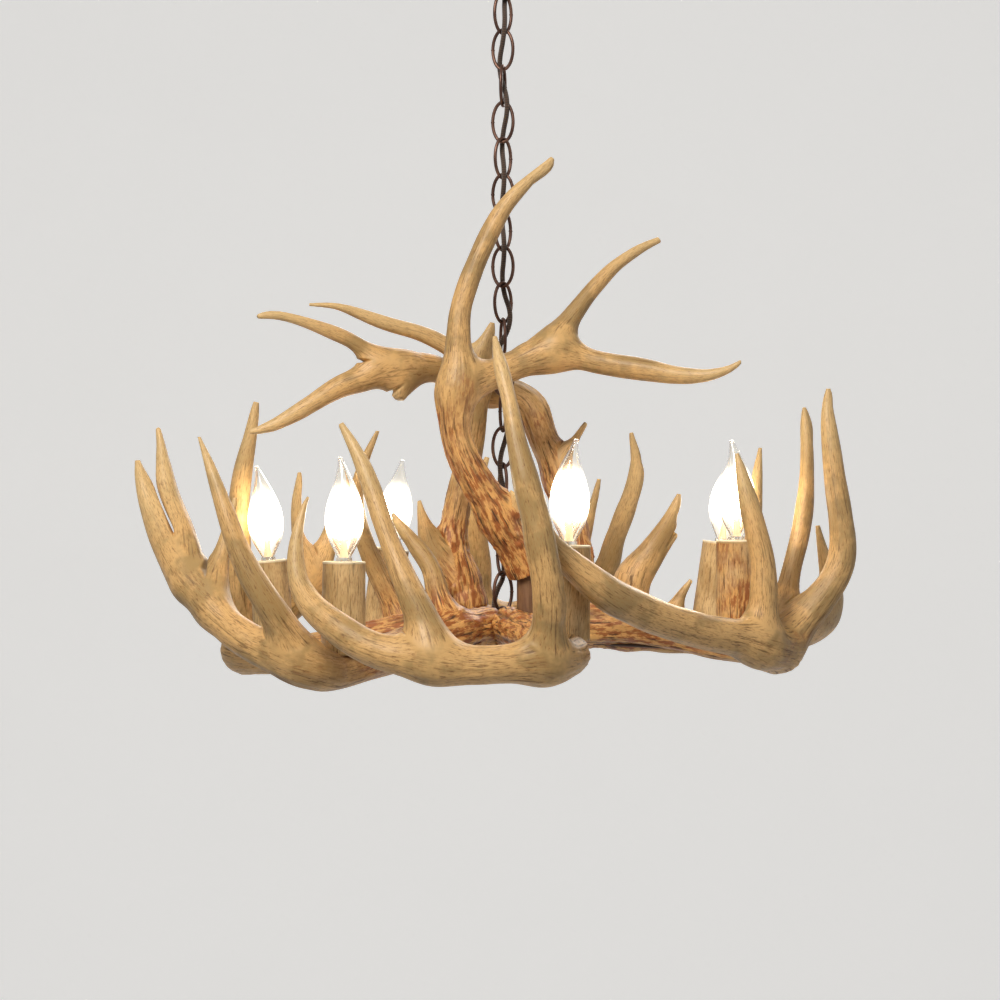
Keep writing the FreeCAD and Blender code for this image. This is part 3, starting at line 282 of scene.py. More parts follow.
def vertex_rows(mesh: bpy.types.Mesh, key: str = "co") -> np.ndarray:
    """Read the places of a mesh's vertices, or their normals.

    Args:
        mesh: The mesh.
        key: Blender's name of what is read.

    Returns:
        Rows of x, y and z.
    """
    rows = np.empty(len(mesh.vertices) * 3)
    mesh.vertices.foreach_get(key, rows)
    return rows.reshape(-1, 3)


def place_points(mesh: bpy.types.Mesh, points: np.ndarray) -> None:
    """Move the vertices of a mesh to new places."""
    mesh.vertices.foreach_set("co", points.astype(np.float32).ravel())
    mesh.update()


def store(mesh: bpy.types.Mesh, name: str, values: np.ndarray) -> None:
    """Keep a number or a vector for each vertex, for the material to read.

    Args:
        mesh: The mesh that gets the attribute.
        name: Name of the attribute.
        values: One number or one row of three for each vertex.
    """
    kind, key = ("FLOAT", "value") if values.ndim == 1 else ("FLOAT_VECTOR", "vector")
    attribute = mesh.attributes.new(name, kind, "POINT")
    attribute.data.foreach_set(key, values.astype(np.float32).ravel())


def ramp(values: np.ndarray, low: float, high: float) -> np.ndarray:
    """A smooth step from 0 at low to 1 at high, which may be the smaller of the two."""
    share = np.clip((values - low) / (high - low), 0, 1)
    return share * share * (3 - 2 * share)


def distances(line: np.ndarray) -> np.ndarray:
    """How far along a line each of its points lies."""
    runs = np.linalg.norm(np.diff(line, axis=0), axis=1)
    return np.concatenate(([0.0], np.cumsum(runs)))


def steady_frame(line: np.ndarray, lead: Sequence[float]) -> tuple[np.ndarray, np.ndarray]:
    """Carry two directions along a line, square to it and without a twist about it.

    Args:
        line: Points as rows.
        lead: Any direction that doesn't lie along the line's start.

    Returns:
        Unit rows across the line, and unit rows square to both.
    """
    tangents = np.gradient(line, axis=0)
    tangents /= np.linalg.norm(tangents, axis=1)[:, None]
    side = np.cross(tangents[0], lead)
    across = np.empty_like(line)
    for index, tangent in enumerate(tangents):
        side = side - tangent * side.dot(tangent)
        side /= np.linalg.norm(side)
        across[index] = side
    return across, np.cross(tangents, across)


def rings_along(line: np.ndarray, across: np.ndarray, up: np.ndarray,
                radii: Union[float, np.ndarray], sides: int) -> np.ndarray:
    """Put a ring of points round each point of a line.

    Args:
        line: Points as rows.
        across: Unit rows across the line.
        up: Unit rows square to the line and to across.
        radii: One radius, or one for each point.
        sides: Points in a ring.

    Returns:
        Points in an array of rings by points by 3.
    """
    turns = np.linspace(0, 2 * math.pi, sides, endpoint=False)[None, :, None]
    out = np.cos(turns) * across[:, None] + np.sin(turns) * up[:, None]
    return line[:, None] + np.reshape(radii, (-1, 1, 1)) * out


def rings_upright(profile: Sequence[Span], sides: int) -> np.ndarray:
    """Put a ring of points round the upright axis for each radius and height.

    Args:
        profile: Pairs of a radius and a height.
        sides: Points in a ring.

    Returns:
        Points in an array of rings by points by 3.
    """
    turns = np.linspace(0, 2 * math.pi, sides, endpoint=False)
    circle = np.column_stack((np.cos(turns), np.sin(turns), np.zeros(sides)))
    rise = np.array((0, 0, 1.0))
    return np.array([circle * radius + rise * height for radius, height in profile])


def grid_mesh(name: str, rows: np.ndarray, closed: bool) -> bpy.types.Mesh:
    """Join rings of points into a skin whose first and last rings are joined or capped.

    Args:
        name: Name of the mesh.
        rows: Points in an array of rings by points by 3.
        closed: Whether the last ring joins the first, as on a hollow sleeve.

    Returns:
        The mesh, with faces pointing outwards.
    """
    count, around = rows.shape[:2]
    faces = []
    for ring in range(count if closed else count - 1):
        below = ring * around
        above = ((ring + 1) % count) * around
        for step in range(around):
            after = (step + 1) % around
            faces.append((below + step, below + after, above + after, above + step))
    if not closed:
        faces.append(tuple(reversed(range(around))))
        faces.append(tuple(range((count - 1) * around, count * around)))
    mesh = bpy.data.meshes.new(name)
    mesh.from_pydata(rows.reshape(-1, 3).tolist(), [], faces)
    shell = bmesh.new()
    shell.from_mesh(mesh)
    bmesh.ops.recalc_face_normals(shell, faces=shell.faces)
    shell.to_mesh(mesh)
    shell.free()
    mesh.shade_smooth()
    return mesh


class LatticeNoise:
    """Smooth noise between -1 and 1 that is the same on every run."""

    STRIDES = (73856093, 19349663, 83492791)
    SEED_STRIDE = 40503
    MIXER = 1274126177
    WORD = 0xFFFFFFFF
    HALF_WORD = 0xFFFF
    LAYER_SHIFT = 7.3

    def __init__(self, seed: int) -> None:
        """Keep the seed that sets one noise apart from another."""
        self.seed = seed

    def _corner(self, cells: np.ndarray) -> np.ndarray:
        """Work out the fixed values of lattice corners.

        Args:
            cells: Whole-number rows of x, y and z.

        Returns:
            One value between -1 and 1 for each row.
        """
        x, y, z = (cells * self.STRIDES).T
        mixed = (x ^ y ^ z ^ self.seed * self.SEED_STRIDE) & self.WORD
        mixed = ((mixed ^ (mixed >> 13)) * self.MIXER) & self.WORD
        return ((mixed ^ (mixed >> 16)) & self.HALF_WORD) / (self.HALF_WORD / 2) - 1

    def at(self, points: np.ndarray) -> np.ndarray:
        """Work out the noise, which has about one bump to each unit of length.

        Args:
            points: Places as rows.

        Returns:
            One value for each place.
        """
        base = np.floor(points).astype(np.int64)
        share = points - base
        share = share * share * (3 - 2 * share)
        total = np.zeros(len(points))
        for corner in itertools.product((0, 1), repeat=3):
            weight = np.prod(np.where(np.array(corner) == 1, share, 1 - share), axis=1)
            total += weight * self._corner(base + np.array(corner))
        return total

    def layered(self, points: np.ndarray, layers: int) -> np.ndarray:
        """Add up layers of the noise, each with bumps half as wide and high as the last.

        Args:
            points: Places as rows.
            layers: How many layers.

        Returns:
            One value for each place.
        """
        total = np.zeros(len(points))
        for layer in range(layers):
            total += self.at(points * 2 ** layer + self.LAYER_SHIFT * layer) / 2 ** layer
        return total


# ------------------------------------------------------------------ node trees

class TreeMaker:
    """Short calls for adding nodes to a tree."""

    def __init__(self, tree: bpy.types.NodeTree) -> None:
        """Keep the tree's nodes and links at hand."""
        self.nodes = tree.nodes
        self.links = tree.links

    def fill(self, socket: bpy.types.NodeSocket, value: Value) -> None:
        """Set an input to a plain value, or link it to another node's output.

        Args:
            socket: The input.
            value: The value or the output.
        """
        if isinstance(value, bpy.types.NodeSocket):
            self.links.new(value, socket)
        else:
            socket.default_value = value

    def node(self, kind: str, inputs: Optional[dict] = None, **settings: object) -> bpy.types.Node:
        """Add a node.

        Args:
            kind: Blender's name of the node.
            inputs: Values or outputs for the node's inputs, by name or number.
            **settings: Properties of the node.

        Returns:
            The node.
        """
        node = self.nodes.new(kind)
        for name, value in settings.items():
            setattr(node, name, value)
        for key, value in (inputs or {}).items():
            self.fill(node.inputs[key], value)
        return node

    def math(self, kind: str, first: Value, second: Value = 0.0) -> bpy.types.NodeSocket:
        """One step of arithmetic."""
        return self.node("ShaderNodeMath", {0: first, 1: second}, operation=kind).outputs[0]

    def seen_directly(self) -> bpy.types.NodeSocket:
        """Tell a surface that is seen from one that only lights others.

        Returns:
            An output that is 1 where it is seen, also in metal or through glass, and 0 elsewhere.
        """
        path = self.node("ShaderNodeLightPath")
        share = path.outputs["Is Camera Ray"]
        for name in ("Is Glossy Ray", "Is Transmission Ray"):
            share = self.math("MAXIMUM", share, path.outputs[name])
        return share


class ShaderTree(TreeMaker):
    """Short calls for building the node tree of one material."""

    NOISE_ROUGHNESS = 0.6
    NOISE_SPAN = (0.3, 0.7)

    def __init__(self, name: str) -> None:
        """Start a material with its one principled shader.

        Args:
            name: Name of the material.
        """
        self.material = bpy.data.materials.new(name)
        self.material.use_nodes = True
        super().__init__(self.material.node_tree)
        self.shader = self.nodes["Principled BSDF"]

    def attribute(self, name: str, socket: str = "Fac") -> bpy.types.NodeSocket:
        """The output that reads a stored attribute."""
        return self.node("ShaderNodeAttribute", attribute_name=name).outputs[socket]

    def place(self) -> bpy.types.NodeSocket:
        """The output that reads the place on the piece."""
        return self.node("ShaderNodeTexCoord").outputs["Object"]

    def noise(self, vector: bpy.types.NodeSocket, scale: float, detail: float,
              stretch: Triple = (1, 1, 1)) -> bpy.types.NodeSocket:
        """Noise on coordinates, which can be stretched.

        Args:
            vector: The coordinates.
            scale: Bumps to a metre.
            detail: How fine the noise goes.
            stretch: Scale along each of their axes.

        Returns:
            The noise's value.
        """
        mapping = self.node("ShaderNodeMapping", {"Vector": vector, "Scale": stretch})
        noise = self.node("ShaderNodeTexNoise", {"Vector": mapping.outputs[0], "Scale": scale,
                                                 "Detail": detail,
                                                 "Roughness": self.NOISE_ROUGHNESS})
        return noise.outputs["Fac"]

    def between(self, value: bpy.types.NodeSocket, span: Span,
                top: float = 1.0) -> bpy.types.NodeSocket:
        """Map a value smoothly from 0 to a top value.

        Args:
            value: The value.
            span: Where it gives 0, and where it gives the top value.
            top: The top value.

        Returns:
            The mapped value.
        """
        node = self.node("ShaderNodeMapRange", {"Value": value, "From Min": span[0],
                                                "From Max": span[1], "To Max": top},
                         interpolation_type="SMOOTHSTEP")
        return node.outputs[0]

    def spread(self, noise: bpy.types.NodeSocket, low: float, high: float) -> bpy.types.NodeSocket:
        """Spread noise evenly over a range of values.

        Args:
            noise: The noise.
            low: The range's lower end.
            high: The range's upper end.

        Returns:
            The spread value.
        """
        start, end = self.NOISE_SPAN
        return self.node("ShaderNodeMapRange", {"Value": noise, "From Min": start, "From Max": end,
                                                "To Min": low, "To Max": high}).outputs[0]

    def blend(self, share: Value, under: Value, over: Value) -> bpy.types.NodeSocket:
        """Mix two colours.

        Args:
            share: How much of the second colour shows.
            under: The first colour, or the output that gives it.
            over: The second colour, or the output that gives it.

        Returns:
            The mixed colour.
        """
        colours = [value if isinstance(value, bpy.types.NodeSocket) else (*value, 1.0)
                   for value in (under, over)]
        mix = self.node("ShaderNodeMix", {0: share, 6: colours[0], 7: colours[1]}, data_type="RGBA")
        return mix.outputs[2]

    def bump(self, height: bpy.types.NodeSocket, strength: float, depth: float,
             over: Optional[bpy.types.NodeSocket] = None) -> bpy.types.NodeSocket:
        """Raise the surface by a pattern.

        Args:
            height: The pattern.
            strength: How much of it shows.
            depth: Its depth in metres.
            over: Another bump that it lies on, if there is one.

        Returns:
            The bent normal.
        """
        inputs = {"Height": height, "Strength": strength, "Distance": depth}
        if over is not None:
            inputs["Normal"] = over
        return self.node("ShaderNodeBump", inputs).outputs[0]

    def plug(self, **sockets: Value) -> None:
        """Set or link the shader's inputs, named with underscores for spaces."""
        for name, value in sockets.items():
            self.fill(self.shader.inputs[name.replace("_", " ")], value)


# ------------------------------------------------------------------ finishes

@dataclass(frozen=True)
class AntlerBone:
    """Antler: cream to olive tan, streaked along its length, rust and grooved at its base.

    A scale is in bumps to a metre, and a stretch is that scale's share along the limb.
    A blend starts at the first end of its span and is full at the second.
    """

    name: str = "antler_bone"
    cream: Colour = (0.64, 0.385, 0.150)
    olive: Colour = (0.35, 0.225, 0.085)
    amber: Colour = (0.66, 0.345, 0.105)
    rust: Colour = (0.30, 0.075, 0.013)
    line: Colour = (0.37, 0.175, 0.055)
    streak: Colour = (0.070, 0.027, 0.009)
    tip: Colour = (0.72, 0.50, 0.235)
    patch_scale: float = 26.0
    streak_scale: float = 560.0
    streak_stretch: float = 0.07
    fleck_scale_share: float = 1.9
    fleck_stretch_share: float = 2.5
    net_scale: float = 430.0
    net_stretch: float = 0.20
    pore_scale: float = 1500.0
    pore_stretch: float = 0.5
    olive_span: Span = (0.42, 0.60)
    olive_share: float = 0.9
    tip_span: Span = (0.22, 0.02)
    tip_share: float = 0.8
    line_span: Span = (0.46, 0.60)
    line_share: float = 0.42
    rust_span: Span = (0.44, 0.56)
    old_wander: float = 0.7
    old_span: Span = (0.52, 0.78)
    old_share: float = 0.88
    streak_span: Span = (0.55, 0.66)
    streak_share: float = 0.22
    streak_share_of_age: float = 0.95
    fleck_span: Span = (0.58, 0.68)
    fleck_share: float = 0.55
    groove_shade_span: Span = (0.15, 0.9)
    groove_shade_share: float = 0.7
    roughness: Span = (0.32, 0.58)
    shine: float = 0.35
    furrow_depth: float = 0.0018
    furrow_strength: float = 0.8
    pore_depth_share: float = 0.2
    pore_strength: float = 0.15

    def build(self) -> bpy.types.Material:
        """Make the material.

        Returns:
            The material.
        """
        tree = ShaderTree(self.name)
        grain = tree.attribute("grain", "Vector")
        age, groove_stain_and_shade, calm = map(tree.attribute, ("age", "groove_stain_and_shade", "calm"))
        patches = tree.noise(tree.place(), self.patch_scale, 4.0)
        streaks = tree.noise(grain, self.streak_scale, 5.0, (1, 1, self.streak_stretch))
        flecks = tree.noise(grain, self.fleck_scale_share * self.streak_scale, 4.0,
                            (1, 1, self.fleck_stretch_share * self.streak_stretch))
        net = tree.noise(grain, self.net_scale, 5.0, (1, 1, self.net_stretch))
        pores = tree.noise(grain, self.pore_scale, 2.0, (1, 1, self.pore_stretch))

        colour = tree.blend(tree.between(patches, self.olive_span, self.olive_share),
                            self.cream, self.olive)
        colour = tree.blend(tree.between(age, self.tip_span, self.tip_share), colour, self.tip)
        lines = tree.between(flecks, self.line_span, self.line_share)
        colour = tree.blend(tree.math("MULTIPLY", lines, calm), colour, self.line)
        ridges = tree.blend(tree.between(net, self.rust_span), self.amber, self.rust)
        wander = tree.math("MULTIPLY", tree.math("SUBTRACT", patches, 0.5), self.old_wander)
        old = tree.between(tree.math("ADD", age, wander), self.old_span)
        colour = tree.blend(tree.math("MULTIPLY", old, self.old_share), colour, ridges)
        reach = tree.math("ADD", tree.math("MULTIPLY", age, self.streak_share_of_age),
                          self.streak_share)
        dark = tree.math("MULTIPLY", tree.between(streaks, self.streak_span),
                         tree.math("MULTIPLY", reach, calm))
        colour = tree.blend(dark, colour, self.streak)
        dots = tree.math("MULTIPLY", tree.between(flecks, self.fleck_span, self.fleck_share), calm)
        colour = tree.blend(dots, colour, self.streak)
        # Darkest in the grooves' bottoms: partly the grooves' own dark stain, partly painted shade in
        # the grooves.
        colour = tree.blend(tree.between(groove_stain_and_shade, self.groove_shade_span, self.groove_shade_share), colour, self.streak)

        depth = tree.math("MULTIPLY", tree.math("MULTIPLY", age, calm), -1.0)
        furrows = tree.bump(tree.math("MULTIPLY", streaks, depth), self.furrow_strength,
                            self.furrow_depth)
        surface = tree.bump(pores, self.pore_strength, self.pore_depth_share * self.furrow_depth,
                            furrows)
        tree.plug(Base_Color=colour, Roughness=tree.spread(streaks, *self.roughness),
                  Normal=surface, Specular_IOR_Level=self.shine)
        return tree.material


@dataclass(frozen=True)
class AgedMetal:
    """Metal with a worn, slightly uneven coat."""

    name: str
    dark: Colour
    light: Colour
    roughness: float
    metallic: float = 0.85
    patch_scale: float = 60.0
    patch_span: Span = (0.40, 0.66)
    grain_scale: float = 1080.0
    grain_depth: float = 0.0002
    grain_strength: float = 0.25
    polish: float = 0.08
    wear: float = 0.12

    def build(self) -> bpy.types.Material:
        """Make the material.

        Returns:
            The material.
        """
        tree = ShaderTree(self.name)
        place = tree.place()
        patches = tree.noise(place, self.patch_scale, 5.0)
        grain = tree.noise(place, self.grain_scale, 3.0)
        tree.plug(Base_Color=tree.blend(tree.between(patches, self.patch_span), self.dark, self.light),
                  Roughness=tree.spread(patches, self.roughness - self.polish,
                                        self.roughness + self.wear),
                  Metallic=self.metallic,
                  Normal=tree.bump(grain, self.grain_strength, self.grain_depth))
        return tree.material


@dataclass(frozen=True)
class BraidedCover:
    """The woven cover of a lamp cord: two sets of yarns that cross each other."""

    name: str = "braided_cover"
    yarn: Colour = (0.095, 0.050, 0.028)
    gap: Colour = (0.025, 0.014, 0.008)
    yarn_span: Span = (-0.5, 0.6)
    turns: float = 8.0
    pitch: float = 0.004
    depth: float = 0.0003
    strength: float = 0.6
    roughness: float = 0.85
    sheen: float = 0.25

    def build(self) -> bpy.types.Material:
        """Make the material.

        Returns:
            The material.
        """
        tree = ShaderTree(self.name)
        parts = tree.node("ShaderNodeSeparateXYZ", {0: tree.attribute("grain", "Vector")})
        around = tree.math("MULTIPLY", parts.outputs["X"], self.turns)
        along = tree.math("MULTIPLY", parts.outputs["Y"], 2 * math.pi / self.pitch)
        rising = tree.math("SINE", tree.math("ADD", around, along))
        falling = tree.math("SINE", tree.math("SUBTRACT", around, along))
        weave = tree.math("MULTIPLY", rising, falling)
        tree.plug(Base_Color=tree.blend(tree.between(weave, self.yarn_span), self.gap, self.yarn),
                  Roughness=self.roughness, Sheen_Weight=self.sheen,
                  Normal=tree.bump(weave, self.strength, self.depth))
        return tree.material


@dataclass(frozen=True)
class PlainGrain:
    """Hardwood or moulded plastic: two close colours in a stretched or even grain."""

    name: str
    light: Colour
    dark: Colour
    stretch: Triple
    scale: float
    roughness: float
    dark_span: Span = (0.35, 0.68)
    depth: float = 0.0002
    strength: float = 0.3

    def build(self) -> bpy.types.Material:
        """Make the material.

        Returns:
            The material.
        """
        tree = ShaderTree(self.name)
        grain = tree.noise(tree.place(), self.scale, 5.0, self.stretch)
        tree.plug(Base_Color=tree.blend(tree.between(grain, self.dark_span), self.light, self.dark),
                  Roughness=self.roughness, Normal=tree.bump(grain, self.strength, self.depth))
        return tree.material


@dataclass(frozen=True)
class LitGlass:
    """Clear bulb glass, warm where the lit wire stands behind it."""

    name: str = "bulb_glass"
    tint: Colour = (1.0, 0.985, 0.95)
    glow: Colour = (1.0, 0.87, 0.66)
    glow_strength: float = 7.0
    bending: float = 1.45
    roughness: float = 0.02
    ripple_scale: float = 90.0
    ripple_stretch: float = 0.3
    ripple_depth: float = 0.0005
    ripple_strength: float = 0.05

    def build(self) -> bpy.types.Material:
        """Make the material.

        Returns:
            The material.
        """
        tree = ShaderTree(self.name)
        ripple = tree.noise(tree.place(), self.ripple_scale, 1.0, (1, 1, self.ripple_stretch))
        glow = tree.math("MULTIPLY", tree.attribute("lit"), self.glow_strength)
        tree.plug(Base_Color=(*self.tint, 1), Roughness=self.roughness, Transmission_Weight=1.0,
                  IOR=self.bending, Emission_Color=(*self.glow, 1), Emission_Strength=glow,
                  Normal=tree.bump(ripple, self.ripple_strength, self.ripple_depth))
        return tree.material


@dataclass(frozen=True)
class GlowWire:
    """The lit wire of a bulb, brightest where it is coiled."""

    name: str = "glow_wire"
    metal: Colour = (0.30, 0.27, 0.24)
    metallic: float = 0.8
    roughness: float = 0.35
    glow: Colour = (1.0, 0.72, 0.36)
    glow_strength: float = 40.0
    coil_scale: float = 2500.0
    coil_lift: float = 0.6

    def build(self) -> bpy.types.Material:
        """Make the material.

        Returns:
            The material.
        """
        tree = ShaderTree(self.name)
        coil = tree.math("ADD", tree.noise(tree.place(), self.coil_scale, 1.0), self.coil_lift)
        heat = tree.math("MULTIPLY", tree.attribute("lit"), self.glow_strength)
        tree.plug(Base_Color=(*self.metal, 1), Metallic=self.metallic, Roughness=self.roughness,
                  Emission_Color=(*self.glow, 1),
                  Emission_Strength=tree.math("MULTIPLY", heat, coil))
        return tree.material


class Finishes:
    """Every material of the light, each made once."""

    def __init__(self) -> None:
        """Make the materials."""
        self.antler = AntlerBone().build()
        self.sleeve = AntlerBone(name="cast_sleeve", cream=(0.64, 0.44, 0.21),
                                 olive=(0.46, 0.30, 0.125), tip=(0.90, 0.78, 0.54),
                                 streak_scale=820.0, streak_stretch=0.045,
                                 furrow_depth=0.0010).build()
        self.bronze = AgedMetal(name="dark_bronze", dark=(0.075, 0.038, 0.028),
                                light=(0.150, 0.080, 0.056), roughness=0.36).build()
        self.bright = AgedMetal(name="bright_cap", dark=(0.62, 0.60, 0.56),
                                light=(0.80, 0.78, 0.74), roughness=0.25).build()
        self.cord = BraidedCover().build()
        self.wood = PlainGrain(name="stained_beech", light=(0.20, 0.095, 0.038),
                               dark=(0.11, 0.048, 0.018), stretch=(1, 1, 0.12), scale=260.0,
                               roughness=0.6).build()
        self.holder = PlainGrain(name="black_moulding", light=(0.020, 0.018, 0.016),
                                 dark=(0.035, 0.030, 0.026), stretch=(1, 1, 1), scale=900.0,
                                 roughness=0.5).build()
        self.glass = LitGlass().build()
        self.wire = GlowWire().build()


def finish_nodes(names: Iterable[str], material: bpy.types.Material) -> None:
    """Dress nodes that keep their own shapes.

    Args:
        names: The nodes.
        material: Their finish.
    """
    for name in names:
        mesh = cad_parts[name].data
        mesh.materials.clear()
        mesh.materials.append(material)
        mesh.polygons.foreach_set("material_index", np.zeros(len(mesh.polygons), np.int32))
        log.info("%s keeps its own shape", name)


def settle(piece: bpy.types.Object, material: Optional[bpy.types.Material],
           node: str, body: str) -> None:
    """Finish a piece: give it its material and body, and hide the node that it stands for.

    Args:
        piece: The finished object.
        material: Its material, or None where it has one.
        node: The node that it replaces.
        body: The body that it rides on.
    """
    if material is not None:
        piece.data.materials.clear()
        piece.data.materials.append(material)
    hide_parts(node)
    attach(piece, body)
    log.info("%s: %d faces", piece.name, len(piece.data.polygons))


# ------------------------------------------------------------------ antlers

@dataclass
class Limb:
    """One beam or tine as a fine run of round sections."""

    stations: list[Station]
    steps: int = 5
    lead: Triple = (0.2, 0.3, 1.0)
    points: np.ndarray = field(init=False)
    radii: np.ndarray = field(init=False)
    along: np.ndarray = field(init=False)
    across: np.ndarray = field(init=False)
    up: np.ndarray = field(init=False)

    def __post_init__(self) -> None:
        """Work out the fine centreline, its length and a steady frame along it."""
        rows = np.array(self.stations, float) * MM
        rows[:, 2] += HUB_LEVEL
        fine = self._through(rows)
        self.points = fine[:, :3]
        self.radii = fine[:, 3]
        self.along = distances(self.points)
        self.across, self.up = steady_frame(self.points, self.lead)

    def _through(self, rows: np.ndarray) -> np.ndarray:
        """Draw a smooth run through the stations.

        Args:
            rows: The stations in metres.

        Returns:
            Finer rows of the same kind.
        """
        padded = np.vstack((2 * rows[0] - rows[1], rows, 2 * rows[-1] - rows[-2]))
        share = np.linspace(0, 1, self.steps, endpoint=False)[:, None]
        runs = []
        for before, start, end, after in zip(padded, padded[1:], padded[2:], padded[3:]):
            runs.append(0.5 * (2 * start + (end - before) * share
                               + (2 * before - 5 * start + 4 * end - after) * share ** 2
                               + (3 * start - before - 3 * end + after) * share ** 3))
        runs.append(rows[-1:])
        return np.vstack(runs)

    def measure(self, places: np.ndarray) -> dict[str, np.ndarray]:
        """Where places lie beside the limb.

        Args:
            places: Points as rows.

        Returns:
            For each, its distance outside the limb, the way out, the distance along
            the limb, and the angle round it.
        """
        start = self.points[:-1]
        run = np.diff(self.points, axis=0)
        squared = (run ** 2).sum(1)
        nearest = np.argmin(((places[:, None] - (start + run / 2)[None]) ** 2).sum(2), axis=1)
        best = None
        for shift in (-1, 0, 1):
            pick = np.clip(nearest + shift, 0, len(run) - 1)
            offset = places - start[pick]
            share = np.clip((offset * run[pick]).sum(1) / squared[pick], 0, 1)
            away = offset - run[pick] * share[:, None]
            reach = np.linalg.norm(away, axis=1)
            gap = reach - (self.radii[pick] * (1 - share) + self.radii[pick + 1] * share)
            along = self.along[pick] * (1 - share) + self.along[pick + 1] * share
            angle = np.arctan2((away * self.up[pick]).sum(1), (away * self.across[pick]).sum(1))
            rows = np.column_stack((gap, away / np.maximum(reach, 1e-9)[:, None], along, angle))
            best = rows if best is None else np.where((gap < best[:, 0])[:, None], rows, best)
        return {"gap": best[:, 0], "out": best[:, 1:4], "along": best[:, 4], "angle": best[:, 5]}


@dataclass
class Antler:
    """One antler: its solid remeshed, with round tips, flared forks and a grooved skin.

    A scale is in bumps to a metre. Where it has three values, the third is along the limb.
    """

    node: str
    limbs: list[list[Station]]
    seed: int
    weld_reach: float = 0.00001
    voxel: float = 0.0016
    quick_voxel: float = 0.003
    smooth_share: float = 0.5
    smooth_rounds: int = 2
    end_share: float = 0.30
    end_sides: int = 16
    seat_room: float = 0.045
    cut_span: Span = (-0.0075, -0.0045)
    hub_span: Span = (0.020, 0.025)
    seat_span: Span = (0.0205, 0.032)
    seat_sink: float = 0.004
    fork_flare: float = 0.024
    flare_rounds: int = 3
    flare_limit: float = 0.004
    least_slope: float = 0.25
    calm_reach: float = 0.005
    grain_radius: float = 0.012
    limb_shift: float = 0.05
    seed_shift: float = 0.37
    furrow: float = 0.0013
    furrow_scale: Triple = (300, 300, 17)
    furrow_layers: int = 2
    furrow_span: Span = (0.15, 0.85)
    young_furrow: float = 0.10
    groove_shade_span: Span = (0.25, 0.9)
    pearl: float = 0.0018
    pearl_scale: Triple = (260, 260, 190)
    pearl_span: Span = (0.15, 0.05)
    swell: float = 0.0009
    swell_scale: float = 34.0
    swell_shift: float = 3.1

    def _round_end(self, limb: Limb) -> Optional[bpy.types.Mesh]:
        """Draw the outer end of a limb as round sections.

        Args:
            limb: The limb.

        Returns:
            The end as a closed mesh, or nothing where it passes near a candle's seat.
        """
        first = int(np.argmax(limb.along > (1 - self.end_share) * limb.along[-1]))
        middle = limb.points[first:]
        for candle in CANDLES:
            seat = candle.middle()
            if np.hypot(middle[:, 0] - seat.x, middle[:, 1] - seat.y).min() < self.seat_room:
                return None
        rings = rings_along(middle, limb.across[first:], limb.up[first:], limb.radii[first:],
                            self.end_sides)
        return grid_mesh("round_end", rings, False)

    def _skin(self, limbs: list[Limb]) -> bpy.types.Mesh:
        """Take the solid's skin as an even mesh of small faces, its thin tips filled out.

        Args:
            limbs: The antler's limbs.

        Returns:
            The mesh.
        """
        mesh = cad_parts[self.node].data.copy()
        shell = bmesh.new()
        shell.from_mesh(mesh)
        bmesh.ops.remove_doubles(shell, verts=shell.verts, dist=self.weld_reach)
        for end in filter(None, map(self._round_end, limbs)):
            shell.from_mesh(end)
            bpy.data.meshes.remove(end)
        shell.to_mesh(mesh)
        shell.free()
        helper = as_object(self.node + "_helper", mesh)
        remesh = helper.modifiers.new("even_faces", "REMESH")
        remesh.mode = "VOXEL"
        remesh.voxel_size = self.voxel
        smooth = helper.modifiers.new("soft_edges", "SMOOTH")
        smooth.factor = self.smooth_share
        smooth.iterations = self.smooth_rounds
        return settled_mesh(helper)

    def _freedom(self, places: np.ndarray, gap: np.ndarray) -> np.ndarray:
        """Work out how freely the skin may move.

        Args:
            places: Points of the skin as rows.
            gap: How far each lies outside its limb, which is below 0 on a cut face.

        Returns:
            0 on cut faces, at the hub and on the candles' seats, and 1 elsewhere.
        """
        free = ramp(gap, *self.cut_span)
        free *= ramp(np.hypot(places[:, 0], places[:, 1]), *self.hub_span)
        for candle in CANDLES:
            seat = candle.middle()
            beside = np.hypot(places[:, 0] - seat.x, places[:, 1] - seat.y)
            free *= np.where(places[:, 2] > seat.z - self.seat_sink,
                             ramp(beside, *self.seat_span), 1.0)
        return free

    def _flare(self, places: np.ndarray, limbs: list[Limb]) -> np.ndarray:
        """Move the skin out at the forks, where a tine runs into its beam.

        Args:
            places: Points of the skin as rows.
            limbs: The antler's limbs.

        Returns:
            The moved points.
        """
        for _ in range(self.flare_rounds):
            fields = [limb.measure(places) for limb in limbs]
            hard = np.min([row["gap"] for row in fields], axis=0)
            soft = fields[0]["gap"]
            way = fields[0]["out"]
            for row in fields[1:]:
                share = np.clip(0.5 + 0.5 * (row["gap"] - soft) / self.fork_flare, 0, 1)
                soft = row["gap"] * (1 - share) + soft * share - self.fork_flare * share * (1 - share)
                way = row["out"] * (1 - share)[:, None] + way * share[:, None]
            steep = np.maximum((way ** 2).sum(1), self.least_slope)
            lift = np.minimum(soft - hard, 0) / steep
            wanted = np.clip(-(soft / steep), 0, self.flare_limit)
            wanted *= self._freedom(places, np.maximum(hard, lift))
            places = places + way * wanted[:, None]
        return places

    def _root_ages(self, limbs: list[Limb]) -> np.ndarray:
        """Work out how old the antler is where each limb starts.

        Args:
            limbs: The antler's limbs, each after the one that it grows from.

        Returns:
            One age for each limb: 1 at the burr, near 0 at the tips.
        """
        ages = [1.0]
        for index, limb in enumerate(limbs[1:], start=1):
            rows = [older.measure(limb.points[:1]) for older in limbs[:index]]
            parent = int(np.argmin([row["gap"][0] for row in rows]))
            share = rows[parent]["along"][0] / limbs[parent].along[-1]
            ages.append(ages[parent] * (1 - share))
        return np.array(ages)

